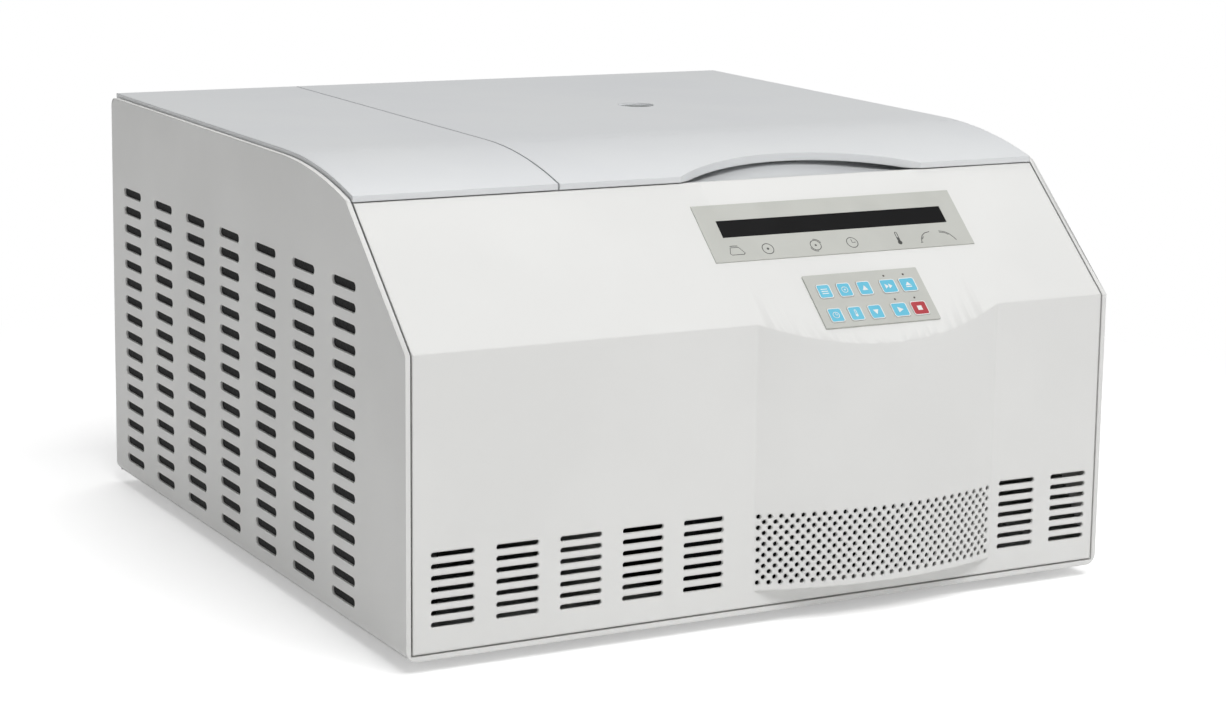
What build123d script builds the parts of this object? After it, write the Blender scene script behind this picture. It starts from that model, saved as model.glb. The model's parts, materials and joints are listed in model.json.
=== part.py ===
from build123d import *
import math
import os

os.makedirs("parts", exist_ok=True)

# Refrigerated bench centrifuge. Millimetres, +X right seen from the front, the front faces -Y, +Z up,
# origin under the middle of the bounding box, on the surface that the feet stand on.

# Case: one bent sheet for the two sides and the bottom, with a hem round its open edges
case_width = 640.0
case_depth = 640.0
side_height = 348.0
sheet = 2.0
hem = 4.0
hem_depth = 5.0
case_corner = 9.0
foot_height = 10.0
front_lean = 5.0
knee_drop = 117.0
slant_run = 108.5
slant_rise = 98.7
crown_radius = 445.0
crown_corner = 14.0
back_corner = 8.0

# Vents in the left side
side_vent_length = 41.0
side_vent_width = 6.0
side_vent_columns = 7
side_vent_rows = 16
side_vent_column_pitch = 78.5
side_vent_row_pitch = 16.4
side_vent_first_y = 116.0
side_vent_first_z = 20.4

# Front panel, one moulding: lower front, bow, slanted desk
panel_wall = 2.5
panel_gap = 1.5
panel_flange = 12.0
panel_top_drop = 21.0
bow_x = 94.5
bow_width = 228.0
bow_depth = 20.5
bow_bottom = 18.0
vent_length = 34.0
vent_width = 3.3
vent_rows = 7
vent_row_pitch = 8.9
vent_first_z = 26.7
vent_left_x = -281.8
vent_left_columns = 5
vent_left_pitch = 54.0
vent_right_x = 234.7
vent_right_columns = 2
vent_right_pitch = 53.0

# Lid and fixed cover over the case
cover_proud = 3.5
cover_wall = 3.0
cover_skirt = 18.0
cover_inset = 5.0
cover_front = 111.5
cover_lip_drop = 20.0
seam_x = -140.0
seam_gap = 1.5
arch_x = 86.0
arch_width = 232.0
arch_depth = 35.0
cover_post = 12.0
post_front = 150.0
post_rear = 40.0
post_pitch = 130.0
lip_height = 6.5
scoop_back = 152.0
scoop_rise = 6.5
scoop_step = 1.0
scoop_radius = 60.0
striker_slot_length = 28.0
striker_slot_depth = 16.0

# Deck, chamber and what surrounds it
deck_drop = 40.0
deck_sheet = 3.0
deck_front = 118.0
deck_flange = 20.0
chamber_x = 95.0
chamber_back = 400.0
bowl_radius = 190.0
bowl_wall = 1.5
bowl_bottom = 122.0
bowl_corner = 18.0
bowl_flange = 10.0
shaft_port = 24.0
seal_height = 7.0
seal_width = 7.0
seal_gap = 0.3
foam_wall = 12.0
foam_gap = 0.5
armour_wall = 5.0
coil_tube = 8.0
coil_gap = 0.5
coil_turns = 4
coil_pitch = 38.0
coil_first = 30.0
foam_floor = 12.0
seal_inset = 2.0
seal_bore_gap = 1.0
seal_flange = 5.0
seal_drop = 12.0
seal_lip = 1.0
seal_rise = 4.0
lining_wall = 3.0
lining_margin = 15.0
lining_front = 176.0
port_back = 408.0
port_radius = 16.0
port_ring = 4.0
port_glass = 3.0
port_recess = 1.5
port_rim = 4.0
port_rim_thickness = 2.0
port_step = 2.0
fit_gap = 0.3

# Lid hinges and latch
hinge_back = 630.0
hinge_drop = 5.0
hinge_spacing = 300.0
hinge_pin = 6.0
hinge_bore_gap = 0.05
hinge_eye = 5.0
hinge_lug = 24.0
hinge_ear = 5.0
latch_back = 158.0
latch_width = 44.0
latch_height = 45.0
striker_wire = 4.0
striker_width = 24.0
striker_window = 12.0
hook_pin = 5.0
hook_width = 6.0
hinge_side_gap = 0.5
hinge_pin_end = 1.0
hinge_notch_gap = 2.0
hinge_foot = 6.0
hinge_reach = 18.0
lug_length = 22.0
lug_thickness = 4.0
striker_drop = 18.0
striker_foot = 34.0
striker_foot_depth = 14.0
housing_front = 40.0
housing_back = 14.0
housing_wall = 3.0
housing_bay = 28.0
hook_reach = 9.0
hook_drop = 16.0
hook_clearance = 2.0
hook_thickness = 5.5
hook_from = 85.0
hook_to = 160.0
hook_spoke = 8.0

# Rotor: a four-armed yoke with four hanging buckets
yoke_drop = 83.0
yoke_height = 20.0
yoke_radius = 112.0
bucket_circle = 94.0
bucket_bore = 58.0
bucket_wall = 3.0
bucket_floor_gap = 40.0
bucket_top = 16.0
bucket_bay = 76.0
trunnion_pin = 8.0
trunnion_boss = 15.0
trunnion_gap = 0.6
trunnion_depth = 6.0
trunnion_root = 1.0
pin_gap = 0.05
shaft_diameter = 16.0
motor_diameter = 130.0
motor_height = 78.0
motor_plate = 6.0
motor_plate_width = 190.0
damper_height = 14.0
damper_diameter = 24.0
damper_spacing = 150.0
nut_height = 12.0
nut_radius = 15.0
collar_height = 8.0
collar_diameter = 26.0
shaft_seat = 30.0
bay_gap = 2.0
bucket_base_chamfer = 2.5
motor_chamfer = 4.0
motor_ribs = 12
motor_rib_height = 4.0
motor_rib_width = 3.0
motor_rib_margin = 8.0

# Left compartment: condenser, fan, compressor
base_sheet = 3.0
base_side_gap = 2.5
base_end_gap = 9.0
partition_front = 18.0
partition_drop = 14.0
partition_x = -132.0
partition_sheet = 1.5
condenser_depth = 30.0
condenser_length = 220.0
condenser_height = 220.0
condenser_fins = 16
condenser_fin = 1.0
condenser_y = 175.0
condenser_x = -298.0
fan_size = 190.0
fan_depth = 26.0
fan_bore = 178.0
fan_hub = 60.0
fan_blades = 7
fan_running_gap = 3.0
fan_gap = 0.5
fan_arm_width = 10.0
fan_arm_depth = 6.0
fan_pin = 6.0
fan_hub_depth = 16.0
fan_chord = 26.0
fan_pitch = 33.0
fan_blade_thickness = 2.0
fan_root = 1.0
fan_arm_turn = 45.0
compressor_x = -228.0
compressor_y = 450.0
compressor_radius = 62.0
compressor_height = 165.0
compressor_grommet = 12.0
compressor_foot_x = 90.0
compressor_foot_y = 120.0
compressor_dome = 22.0
terminal_rise = 80.0
terminal_width = 40.0
terminal_depth = 24.0
drive_box_length = 250.0
drive_box_depth = 105.0
drive_box_height = 95.0
drive_box_x = 60.0
drive_box_y = 90.0
drive_ribs = 10
drive_rib = 2.0
drive_rib_height = 25.0

# Display and keys, placed on the slant: x from the middle of the case, rise up the slant from the knee
bezel_x = 92.0
bezel_rise = 90.3
bezel_length = 248.0
bezel_height = 57.0
bezel_thickness = 0.8
window_length = 215.5
window_height = 17.0
window_rise = 94.2
window_margin = 3.0
board_thickness = 12.0
keypad_x = 92.6
keypad_rise = 16.0
keypad_length = 109.0
keypad_height = 52.2
keypad_thickness = 1.4
key_height = 13.6
key_columns = [(52.0, 12.8), (70.9, 12.8), (90.0, 12.8), (113.0, 14.8), (131.8, 14.8)]
key_rows = [25.4, 1.7]
key_lift = 0.7
key_thickness = 1.2
key_gap = 0.3
lamp_radius = 1.1
lamp_above_key = 10.7

# Rear panel
rear_vent_x = -225.0
rear_vent_rise = 150.0
rear_vent_length = 56.5
rear_vent_width = 6.3
rear_vent_pitch = 18.0
rear_vent_pitch_x = 76.0
rear_vent_columns = 2
rear_vent_rows = 9
rear_inset = 6.0
rear_top_drop = 20.0
inlet_x = 225.0
inlet_rise = 60.0
inlet_width = 48.0
inlet_height = 30.0
socket_width = 25.0
socket_height = 17.0
socket_depth = 20.0
flange_thickness = 2.5
socket_pin_drop = 3.5
socket_pin_spread = 7.0
socket_pin_width = 2.0
socket_pin_height = 4.0
socket_pin_length = 15.0
inlet_border = 2.5
inlet_rim = 4.0
inlet_depth = 26.0
rocker_width = 13.0
rocker_height = 24.0
rocker_half = 11.0
rocker_back = 3.0
rocker_dip = 1.5
rocker_tilt = 8.0
rocker_stub = 3.0
rocker_recess = 10.0
rocker_pivot_depth = 4.5
rocker_gap = 0.4
foot_diameter = 40.0
foot_inset = 86.0
foot_taper = 12.0
screw_head = 10.0
screw_head_height = 5.0
screw_recess = 3.0

# Heights and depths that follow from the driving dimensions
half_width = case_width / 2
knee_rise = side_height - knee_drop
panel_top_rise = side_height - panel_top_drop
deck_rise = side_height - deck_drop
rear_top = side_height - rear_top_drop
yoke_rise = deck_rise - yoke_drop
bucket_depth = yoke_rise + yoke_height / 2 - bowl_bottom - bucket_floor_gap
base_z = foot_height
bow_reach = bow_depth - front_lean * bow_bottom / knee_rise
front_y = -(case_depth - bow_reach) / 2
back_y = front_y + case_depth
knee_y = front_y + front_lean
knee_z = base_z + knee_rise
slant_top_y = knee_y + slant_run
slant_top_z = knee_z + slant_rise
top_z = base_z + side_height
crown_y = slant_top_y + math.sqrt(crown_radius**2 - (crown_radius - (top_z - slant_top_z)) ** 2)
crown_z = top_z - crown_radius
deck_z = base_z + deck_rise
under_deck_z = deck_z - deck_sheet
chamber_y = front_y + chamber_back
lid_top_z = top_z + cover_proud
hinge_y = front_y + hinge_back
hinge_z = top_z - hinge_drop
inner_half = half_width - sheet
deck_front_y = front_y + deck_front
rear_y = back_y - rear_inset
floor_z = base_z + sheet
base_top_z = floor_z + base_sheet
lid_left = seam_x + seam_gap / 2
lid_right = half_width - cover_inset

# Sketch planes on the outer faces
side_plane = Plane.YZ
back_plane = Plane.XZ.offset(-back_y)
left_plane = Plane((-half_width, front_y, base_z), x_dir=(0, 1, 0), z_dir=(1, 0, 0))
front_plane = Plane((0, front_y, base_z), x_dir=(1, 0, 0), z_dir=(0, -knee_rise, front_lean))
bow_plane = Plane((bow_x, front_y, base_z), x_dir=(1, 0, 0), z_dir=(0, front_lean, knee_rise))
slant_plane = Plane((0, knee_y, knee_z), x_dir=(1, 0, 0), z_dir=(0, -slant_rise, slant_run))
rear_plane = Plane((0, rear_y, base_z), x_dir=(1, 0, 0), z_dir=(0, -1, 0))


def save(builder, name):
    builder.part.label = name
    export_step(builder.part, f"parts/{name}.step")


def crown_height(y, radius):
    # height of the curved top at a given depth, for a curve concentric with the crown
    if y >= crown_y:
        return crown_z + radius
    return crown_z + math.sqrt(radius**2 - (crown_y - y) ** 2)


def side_outline(place, inset, drop):
    # outline of a side wall, inset all round, its bottom lowered first by a drop
    low_z = base_z - drop
    with BuildSketch(place) as outline:
        with BuildLine():
            Polyline(
                (slant_top_y, slant_top_z),
                (knee_y, knee_z),
                (front_y - drop * front_lean / knee_rise, low_z),
                (back_y, low_z),
                (back_y, top_z),
                (crown_y, top_z),
            )
            RadiusArc((slant_top_y, slant_top_z), (crown_y, top_z), crown_radius)
        make_face()
        fillet(outline.vertices().group_by(Axis.X)[-1], back_corner)
        kink = outline.vertices().sort_by_distance((slant_top_y, slant_top_z))[0]
        fillet(kink, crown_corner)
        if inset:
            offset(amount=-inset, kind=Kind.INTERSECTION)
    return outline.sketch


def top_band(place, front, back, top_drop, bottom_drop, lowest):
    # section between two curves that follow the covers' outer surface at two depths below it
    radius = crown_radius + cover_proud
    with BuildSketch(place) as band:
        upper = radius - top_drop
        lower = radius - bottom_drop
        with BuildLine():
            Line((front, crown_height(front, lower)), (front, crown_height(front, upper)))
            RadiusArc((front, crown_height(front, upper)), (crown_y, crown_z + upper), upper)
            Polyline(
                (crown_y, crown_z + upper),
                (back, crown_z + upper),
                (back, crown_z + lower),
                (crown_y, crown_z + lower),
            )
            RadiusArc((crown_y, crown_z + lower), (front, crown_height(front, lower)), -lower)
        make_face()
        with Locations((front, lowest)):
            Rectangle(case_depth, case_depth, align=(Align.MIN, Align.MAX), mode=Mode.SUBTRACT)
    return band.sketch


def between(left, right):
    # plane and length for an extrusion along X between two places
    return side_plane.offset(left), right - left


# Case shell: U section cut to the side outline, thinned to the sheet behind its hem
with BuildPart() as case_relief:
    with BuildSketch(back_plane):
        with Locations((0, floor_z)):
            Rectangle(2 * inner_half, case_depth, align=(Align.CENTER, Align.MIN))
    extrude(amount=case_depth)
    outline = side_outline(side_plane, hem_depth, 2 * hem_depth)
    extrude(outline, amount=half_width, both=True, mode=Mode.INTERSECT)

with BuildPart() as outer_case:
    with BuildSketch(back_plane) as case_section:
        with Locations((0, base_z)):
            Rectangle(case_width, side_height, align=(Align.CENTER, Align.MIN))
        fillet(case_section.vertices().group_by(Axis.Y)[0], case_corner)
        with Locations((0, base_z + hem)):
            Rectangle(
                case_width - 2 * hem,
                side_height,
                align=(Align.CENTER, Align.MIN),
                mode=Mode.SUBTRACT,
            )
    extrude(amount=case_depth)
    extrude(side_outline(side_plane, 0, 0), amount=half_width, both=True, mode=Mode.INTERSECT)
    add(case_relief.part, mode=Mode.SUBTRACT)
    vents_y = side_vent_first_y + side_vent_column_pitch * (side_vent_columns - 1) / 2
    vents_z = side_vent_first_z + side_vent_row_pitch * (side_vent_rows - 1) / 2
    with BuildSketch(left_plane.offset(-sheet)):
        with Locations((vents_y, vents_z)):
            with GridLocations(
                side_vent_column_pitch, side_vent_row_pitch, side_vent_columns, side_vent_rows
            ):
                Rectangle(side_vent_length, side_vent_width)
    extrude(amount=3 * sheet, mode=Mode.SUBTRACT)
save(outer_case, "outer_case")

# Front panel: bent profile, then the bow is added as a block and emptied from behind
bow_radius = (bow_width**2 / 4 + bow_depth**2) / (2 * bow_depth)


def bow_segment(wall, reach, bottom):
    # the bow's cross-section less a wall, from its arc back to a given reach behind the front
    radius = bow_radius - wall
    centre = bow_radius - bow_depth
    with BuildSketch(bow_plane.offset(bottom)) as segment:
        with Locations((0, centre)):
            Circle(radius)
        with Locations((0, reach)):
            Rectangle(3 * bow_width, 3 * bow_radius, align=(Align.CENTER, Align.MIN), mode=Mode.SUBTRACT)
    return segment.sketch


with BuildPart() as bow_block:
    extrude(bow_segment(0, 0, bow_bottom), amount=knee_rise)
    split(bisect_by=slant_plane, keep=Keep.BOTTOM)

with BuildPart() as bow_hollow:
    extrude(bow_segment(panel_wall, 2 * panel_wall, bow_bottom + panel_wall), amount=knee_rise)
    split(bisect_by=slant_plane.offset(-panel_wall), keep=Keep.BOTTOM)

panel_half = half_width - hem - panel_gap
panel_bottom = hem + panel_gap
panel_top_y = knee_y + slant_run * (panel_top_rise - knee_rise) / slant_rise
panel_top_z = base_z + panel_top_rise
foot_line_y = front_y + front_lean * panel_bottom / knee_rise

with BuildPart() as front_panel:
    with BuildSketch(side_plane):
        with BuildLine():
            Polyline(
                (foot_line_y + panel_flange, base_z + panel_bottom),
                (foot_line_y, base_z + panel_bottom),
                (knee_y, knee_z),
                (panel_top_y, panel_top_z),
                (panel_top_y + panel_flange, panel_top_z),
            )
            offset(amount=panel_wall, side=Side.RIGHT, kind=Kind.INTERSECTION)
        make_face()
    extrude(amount=panel_half, both=True)
    add(bow_block.part)
    add(bow_hollow.part, mode=Mode.SUBTRACT)
    vent_rise = vent_first_z + vent_row_pitch * (vent_rows - 1) / 2
    with BuildSketch(front_plane.offset(panel_wall)):
        for first, pitch, count in (
            (vent_left_x, vent_left_pitch, vent_left_columns),
            (vent_right_x, vent_right_pitch, vent_right_columns),
        ):
            with Locations((first + pitch * (count - 1) / 2, vent_rise)):
                with GridLocations(pitch, vent_row_pitch, count, vent_rows):
                    Rectangle(vent_length, vent_width)
    extrude(amount=-3 * panel_wall, mode=Mode.SUBTRACT)
    with BuildSketch(slant_plane):
        with Locations((bezel_x, window_rise)):
            Rectangle(window_length - 2 * window_margin, window_height - 2 * window_margin)
    extrude(amount=-2 * panel_wall, mode=Mode.SUBTRACT)
    # the flange gives way to the finger scoop under the lid's arch
    with BuildSketch(Plane.XY.offset(panel_top_z)):
        with Locations((arch_x, panel_top_y + panel_wall * 2)):
            Rectangle(arch_width, panel_flange * 2, align=(Align.CENTER, Align.MIN))
    extrude(amount=-2 * panel_wall, mode=Mode.SUBTRACT)
save(front_panel, "front_panel")


# Rear panel, behind the deck and below the lid's sweep
with BuildPart() as rear_panel:
    with BuildSketch(rear_plane):
        with Locations((0, sheet)):
            Rectangle(2 * inner_half, rear_top - sheet, align=(Align.CENTER, Align.MIN))
        with Locations((inlet_x, inlet_rise)):
            Rectangle(inlet_width, inlet_height, mode=Mode.SUBTRACT)
        with Locations((rear_vent_x, rear_vent_rise)):
            with GridLocations(rear_vent_pitch_x, rear_vent_pitch, rear_vent_columns, rear_vent_rows):
                Rectangle(rear_vent_length, rear_vent_width, mode=Mode.SUBTRACT)
    extrude(amount=sheet)
save(rear_panel, "rear_panel")

# Base plate on the case bottom, partition, rubber feet and their screws
with BuildPart() as base_plate:
    with BuildSketch(Plane.XY.offset(floor_z)):
        with Locations((0, (front_y + rear_y) / 2)):
            Rectangle(2 * inner_half - 2 * base_side_gap, rear_y - front_y - 2 * base_end_gap)
    extrude(amount=base_sheet)
save(base_plate, "base_plate")

with BuildPart() as partition_panel:
    with BuildSketch(side_plane.offset(partition_x)):
        with BuildLine():
            Polyline(
                (front_y + partition_front, base_top_z),
                (front_y + partition_front, knee_z - partition_drop),
                (deck_front_y, under_deck_z),
                (rear_y - sheet, under_deck_z),
                (rear_y - sheet, base_top_z),
                close=True,
            )
        make_face()
    extrude(amount=partition_sheet)
save(partition_panel, "partition_panel")

foot_x = half_width - foot_inset
foot_y = (front_y + back_y) / 2
foot_pitch_y = case_depth - 2 * foot_inset
with BuildPart() as rubber_feet:
    with BuildSketch(Plane.XY.offset(base_z)):
        with Locations((0, foot_y)):
            with GridLocations(2 * foot_x, foot_pitch_y, 2, 2):
                Circle(foot_diameter / 2)
    extrude(amount=-foot_height, taper=foot_taper)
    with BuildSketch(Plane.XY):
        with Locations((0, foot_y)):
            with GridLocations(2 * foot_x, foot_pitch_y, 2, 2):
                Circle(screw_head / 2 + fit_gap)
    extrude(amount=screw_recess + screw_head_height, mode=Mode.SUBTRACT)
save(rubber_feet, "rubber_feet")

with BuildPart() as foot_screws:
    with BuildSketch(Plane.XY.offset(screw_recess)):
        with Locations((0, foot_y)):
            with GridLocations(2 * foot_x, foot_pitch_y, 2, 2):
                Circle(screw_head / 2)
    extrude(amount=screw_head_height)
save(foot_screws, "foot_screws")

# Fixed cover on the left and lid on the right share one section
cover_front_y = front_y + cover_front
lip_z = top_z - cover_lip_drop
arch_radius = (arch_width**2 / 4 + arch_depth**2) / (2 * arch_depth)
arch_plane = Plane((arch_x, cover_front_y + arch_depth - arch_radius, deck_z))
port_plane = Plane((chamber_x, front_y + port_back, deck_z))


def cover_block(left, right, margin, top_drop, bottom_drop):
    place, length = between(left + margin, right - margin)
    band = top_band(place, cover_front_y + margin, back_y - margin, top_drop, bottom_drop, lip_z)
    with BuildPart() as block:
        extrude(band, amount=length)
    return block.part


def cover_hollow(left, right):
    return cover_block(left, right, cover_wall, cover_wall, 2 * cover_skirt)


fixed_left = -half_width + cover_inset
fixed_right = seam_x - seam_gap / 2
with BuildPart() as fixed_cover:
    add(cover_block(fixed_left, fixed_right, 0, 0, cover_skirt))
    add(cover_hollow(fixed_left, fixed_right), mode=Mode.SUBTRACT)
    for post_y in (front_y + post_front, back_y - post_rear):
        post_top = crown_height(post_y, crown_radius + cover_proud) - cover_wall / 2
        with BuildSketch(Plane.XY.offset(deck_z)):
            with Locations(((fixed_left + fixed_right) / 2, post_y)):
                with GridLocations(post_pitch, 1, 2, 1):
                    Circle(cover_post / 2)
        extrude(amount=post_top - deck_z)
save(fixed_cover, "fixed_cover")

# the lid's rear skirt is notched over the hinge brackets
ear_offset = hinge_lug / 2 + hinge_side_gap
hinge_places = (chamber_x - hinge_spacing / 2, chamber_x + hinge_spacing / 2)
with BuildPart() as hinge_notches:
    with BuildSketch(Plane.XY.offset(lid_top_z - cover_wall)):
        for hinge_x in hinge_places:
            with Locations((hinge_x, back_y)):
                notch_half = ear_offset + hinge_ear + hinge_notch_gap
                Rectangle(2 * notch_half, 2 * cover_wall + hinge_notch_gap)
    extrude(amount=-2 * cover_skirt)

with BuildPart() as lid_cavity:
    add(cover_hollow(lid_left, lid_right))
    with BuildSketch(arch_plane):
        Circle(arch_radius + cover_wall)
    extrude(amount=case_depth, mode=Mode.SUBTRACT)

# under the arch the skirt is cut back so that fingers reach behind the lip
with BuildPart() as finger_relief:
    add(cover_block(lid_left, lid_right, 0, lip_height, 2 * cover_skirt))
    with BuildSketch(arch_plane):
        Circle(arch_radius + cover_wall + fit_gap)
    extrude(amount=case_depth, mode=Mode.INTERSECT)

with BuildPart() as lid_shell:
    add(cover_block(lid_left, lid_right, 0, 0, cover_skirt))
    add(lid_cavity.part, mode=Mode.SUBTRACT)
    with BuildSketch(arch_plane):
        Circle(arch_radius)
    extrude(amount=case_depth, mode=Mode.SUBTRACT)
    add(finger_relief.part, mode=Mode.SUBTRACT)
    add(hinge_notches.part, mode=Mode.SUBTRACT)
    with BuildSketch(port_plane):
        Circle(port_radius)
    extrude(amount=case_depth, mode=Mode.SUBTRACT)
save(lid_shell, "lid_shell")

# Lining tray under the lid, with foam inside, closing on the chamber seal
bowl_rim_z = deck_z + bowl_wall
seal_top_z = bowl_rim_z + seal_height
lining_z = seal_top_z + seal_gap
lining_reach = bowl_radius + lining_margin
lining_front_y = front_y + lining_front
lining_back_y = chamber_y + lining_reach


def lining_block(margin, top_drop, bottom):
    place, length = between(chamber_x - lining_reach + margin, chamber_x + lining_reach - margin)
    front, back = lining_front_y + margin, lining_back_y - margin
    band = top_band(place, front, back, top_drop, case_depth / 4, bottom)
    with BuildPart() as block:
        extrude(band, amount=length)
        with BuildSketch(port_plane):
            Circle(port_radius)
        extrude(amount=case_depth, mode=Mode.SUBTRACT)
    return block.part


with BuildPart() as lid_lining:
    add(lining_block(0, cover_wall, lining_z))
    add(lining_block(lining_wall, 0, lining_z + lining_wall), mode=Mode.SUBTRACT)
save(lid_lining, "lid_lining")

with BuildPart() as lid_foam:
    add(lining_block(lining_wall + fit_gap, cover_wall + fit_gap, lining_z + lining_wall + fit_gap))
save(lid_foam, "lid_foam")

# Sight port: tube through lid and lining, glass near its top
tube_bore = port_radius - port_ring
port_top_z = lid_top_z - port_recess
with BuildPart() as port_tube:
    with BuildSketch(port_plane.offset(lining_z - deck_z - port_rim_thickness)):
        Circle(port_radius + port_rim)
        Circle(tube_bore, mode=Mode.SUBTRACT)
    extrude(amount=port_rim_thickness)
    with BuildSketch(port_plane.offset(lining_z - deck_z)):
        Circle(port_radius - pin_gap)
        Circle(tube_bore, mode=Mode.SUBTRACT)
    extrude(amount=port_top_z - lining_z)
    with BuildSketch(port_plane.offset(port_top_z - deck_z - port_glass)):
        Circle(tube_bore + port_step)
    extrude(amount=port_glass, mode=Mode.SUBTRACT)
save(port_tube, "port_tube")

with BuildPart() as port_window:
    with BuildSketch(port_plane.offset(port_top_z - deck_z - port_glass)):
        Circle(tube_bore + port_step - pin_gap)
    extrude(amount=port_glass)
save(port_window, "port_glass")

# Deck with side flanges, chamber opening and striker slot
latch_y = front_y + latch_back
with BuildPart() as chamber_deck:
    with BuildSketch(Plane.XY.offset(deck_z)):
        with Locations((0, deck_front_y)):
            Rectangle(
                2 * inner_half, rear_y - sheet - deck_front_y, align=(Align.CENTER, Align.MIN)
            )
        with Locations((chamber_x, chamber_y)):
            Circle(bowl_radius + bowl_wall + foam_gap, mode=Mode.SUBTRACT)
        with Locations((chamber_x, latch_y)):
            Rectangle(striker_slot_length, striker_slot_depth, mode=Mode.SUBTRACT)
    extrude(amount=-deck_sheet)
    with BuildSketch(Plane.XY.offset(under_deck_z)):
        with Locations((0, deck_front_y)):
            with GridLocations(2 * inner_half - deck_sheet, 1, 2, 1):
                Rectangle(
                    deck_sheet, rear_y - sheet - deck_front_y, align=(Align.CENTER, Align.MIN)
                )
    extrude(amount=-deck_flange)
save(chamber_deck, "chamber_deck")

# Finger scoop: dished moulding between the desk's top edge and the deck, under the arch
scoop_front_y = panel_top_y + 2 * panel_wall
scoop_back_y = front_y + scoop_back
with BuildPart() as finger_scoop:
    with BuildSketch(side_plane.offset(arch_x)):
        with BuildLine():
            Polyline(
                (scoop_back_y, panel_top_z + scoop_rise),
                (scoop_back_y, deck_z),
                (scoop_front_y, deck_z),
                (scoop_front_y, panel_top_z - scoop_step),
            )
            RadiusArc(
                (scoop_front_y, panel_top_z - scoop_step),
                (scoop_back_y, panel_top_z + scoop_rise),
                -scoop_radius,
            )
        make_face()
    extrude(amount=(arch_width - 2 * fit_gap) / 2, both=True)
save(finger_scoop, "finger_scoop")

# Chamber, all about one upright axis
chamber_axis = Axis((chamber_x, chamber_y, 0), (0, 0, 1))
chamber_section = Plane((chamber_x, chamber_y, 0), x_dir=(1, 0, 0), z_dir=(0, -1, 0))
bowl_z = base_z + bowl_bottom


def chamber_ring(inner, outer, bottom, height):
    with BuildPart() as ring:
        with BuildSketch(Plane((chamber_x, chamber_y, bottom))):
            Circle(outer)
            Circle(inner, mode=Mode.SUBTRACT)
        extrude(amount=height)
    return ring.part


with BuildPart() as chamber_bowl:
    with BuildSketch(chamber_section):
        with BuildLine():
            bend = bowl_corner * (1 - math.sqrt(0.5))
            Line((shaft_port, bowl_z), (bowl_radius - bowl_corner, bowl_z))
            ThreePointArc(
                (bowl_radius - bowl_corner, bowl_z),
                (bowl_radius - bend, bowl_z + bend),
                (bowl_radius, bowl_z + bowl_corner),
            )
            Polyline(
                (bowl_radius, bowl_z + bowl_corner),
                (bowl_radius, bowl_rim_z),
                (bowl_radius + bowl_flange, bowl_rim_z),
            )
            offset(amount=bowl_wall, side=Side.RIGHT, kind=Kind.INTERSECTION)
        make_face()
    revolve(axis=chamber_axis)
save(chamber_bowl, "chamber_bowl")

with BuildPart() as bowl_seal:
    seal_inner = bowl_radius + seal_inset
    add(chamber_ring(seal_inner, seal_inner + seal_width, bowl_rim_z, seal_height))
save(bowl_seal, "bowl_seal")

coil_inner = bowl_radius + bowl_wall + coil_gap
foam_inner = coil_inner + coil_tube + coil_gap
foam_outer = foam_inner + foam_wall
armour_inner = foam_outer + foam_gap
with BuildPart() as evaporator_coil:
    for turn in range(coil_turns):
        turn_z = bowl_z + coil_first + turn * coil_pitch
        add(chamber_ring(coil_inner, coil_inner + coil_tube, turn_z, coil_tube))
save(evaporator_coil, "evaporator_coil")

foam_bottom = bowl_z - bowl_wall - foam_gap - foam_floor
with BuildPart() as foam_jacket:
    foam_port = shaft_port + seal_flange + fit_gap
    add(chamber_ring(foam_port, foam_outer, foam_bottom, under_deck_z - foam_bottom))
    with BuildSketch(Plane((chamber_x, chamber_y, foam_bottom + foam_floor))):
        Circle(foam_inner)
    extrude(amount=side_height, mode=Mode.SUBTRACT)
save(foam_jacket, "foam_jacket")

with BuildPart() as armour_ring:
    armour_outer = armour_inner + armour_wall
    add(chamber_ring(armour_inner, armour_outer, base_top_z, under_deck_z - base_top_z))
save(armour_ring, "armour_ring")

with BuildPart() as shaft_seal:
    with BuildSketch(chamber_section):
        with BuildLine():
            Polyline(
                (shaft_diameter / 2 + seal_bore_gap, bowl_z - seal_drop),
                (shaft_port - fit_gap, bowl_z - seal_drop),
                (shaft_port - fit_gap, bowl_z),
                (shaft_port + seal_flange, bowl_z),
                (shaft_port + seal_flange, bowl_z + seal_lip),
                (shaft_diameter / 2 + seal_bore_gap, bowl_z + seal_rise),
                close=True,
            )
        make_face()
    revolve(axis=chamber_axis)
save(shaft_seal, "shaft_seal")

# Motor on a plate that stands on four rubber dampers
plate_z = base_top_z + damper_height
motor_z = plate_z + motor_plate
motor_top_z = motor_z + motor_height
axis_plane = Plane((chamber_x, chamber_y, 0))
with BuildPart() as motor_dampers:
    with BuildSketch(axis_plane.offset(base_top_z)):
        with GridLocations(damper_spacing, damper_spacing, 2, 2):
            Circle(damper_diameter / 2)
    extrude(amount=damper_height)
save(motor_dampers, "motor_dampers")

with BuildPart() as mount_plate:
    with BuildSketch(axis_plane.offset(plate_z)):
        RectangleRounded(motor_plate_width, motor_plate_width, damper_diameter / 2)
    extrude(amount=motor_plate)
save(mount_plate, "motor_mount_plate")

with BuildPart() as motor_body:
    with BuildSketch(axis_plane.offset(motor_z)):
        Circle(motor_diameter / 2)
    extrude(amount=motor_height)
    chamfer(motor_body.edges().group_by(Axis.Z)[-1], motor_chamfer)
    with BuildSketch(axis_plane.offset(motor_z + motor_rib_margin)):
        with PolarLocations(motor_diameter / 2, motor_ribs):
            Rectangle(2 * motor_rib_height, motor_rib_width)
    extrude(amount=motor_height - 2 * motor_rib_margin)
    with BuildSketch(axis_plane.offset(motor_top_z - shaft_seat)):
        Circle(shaft_diameter / 2 + pin_gap)
    extrude(amount=shaft_seat, mode=Mode.SUBTRACT)
save(motor_body, "motor_body")

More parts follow.
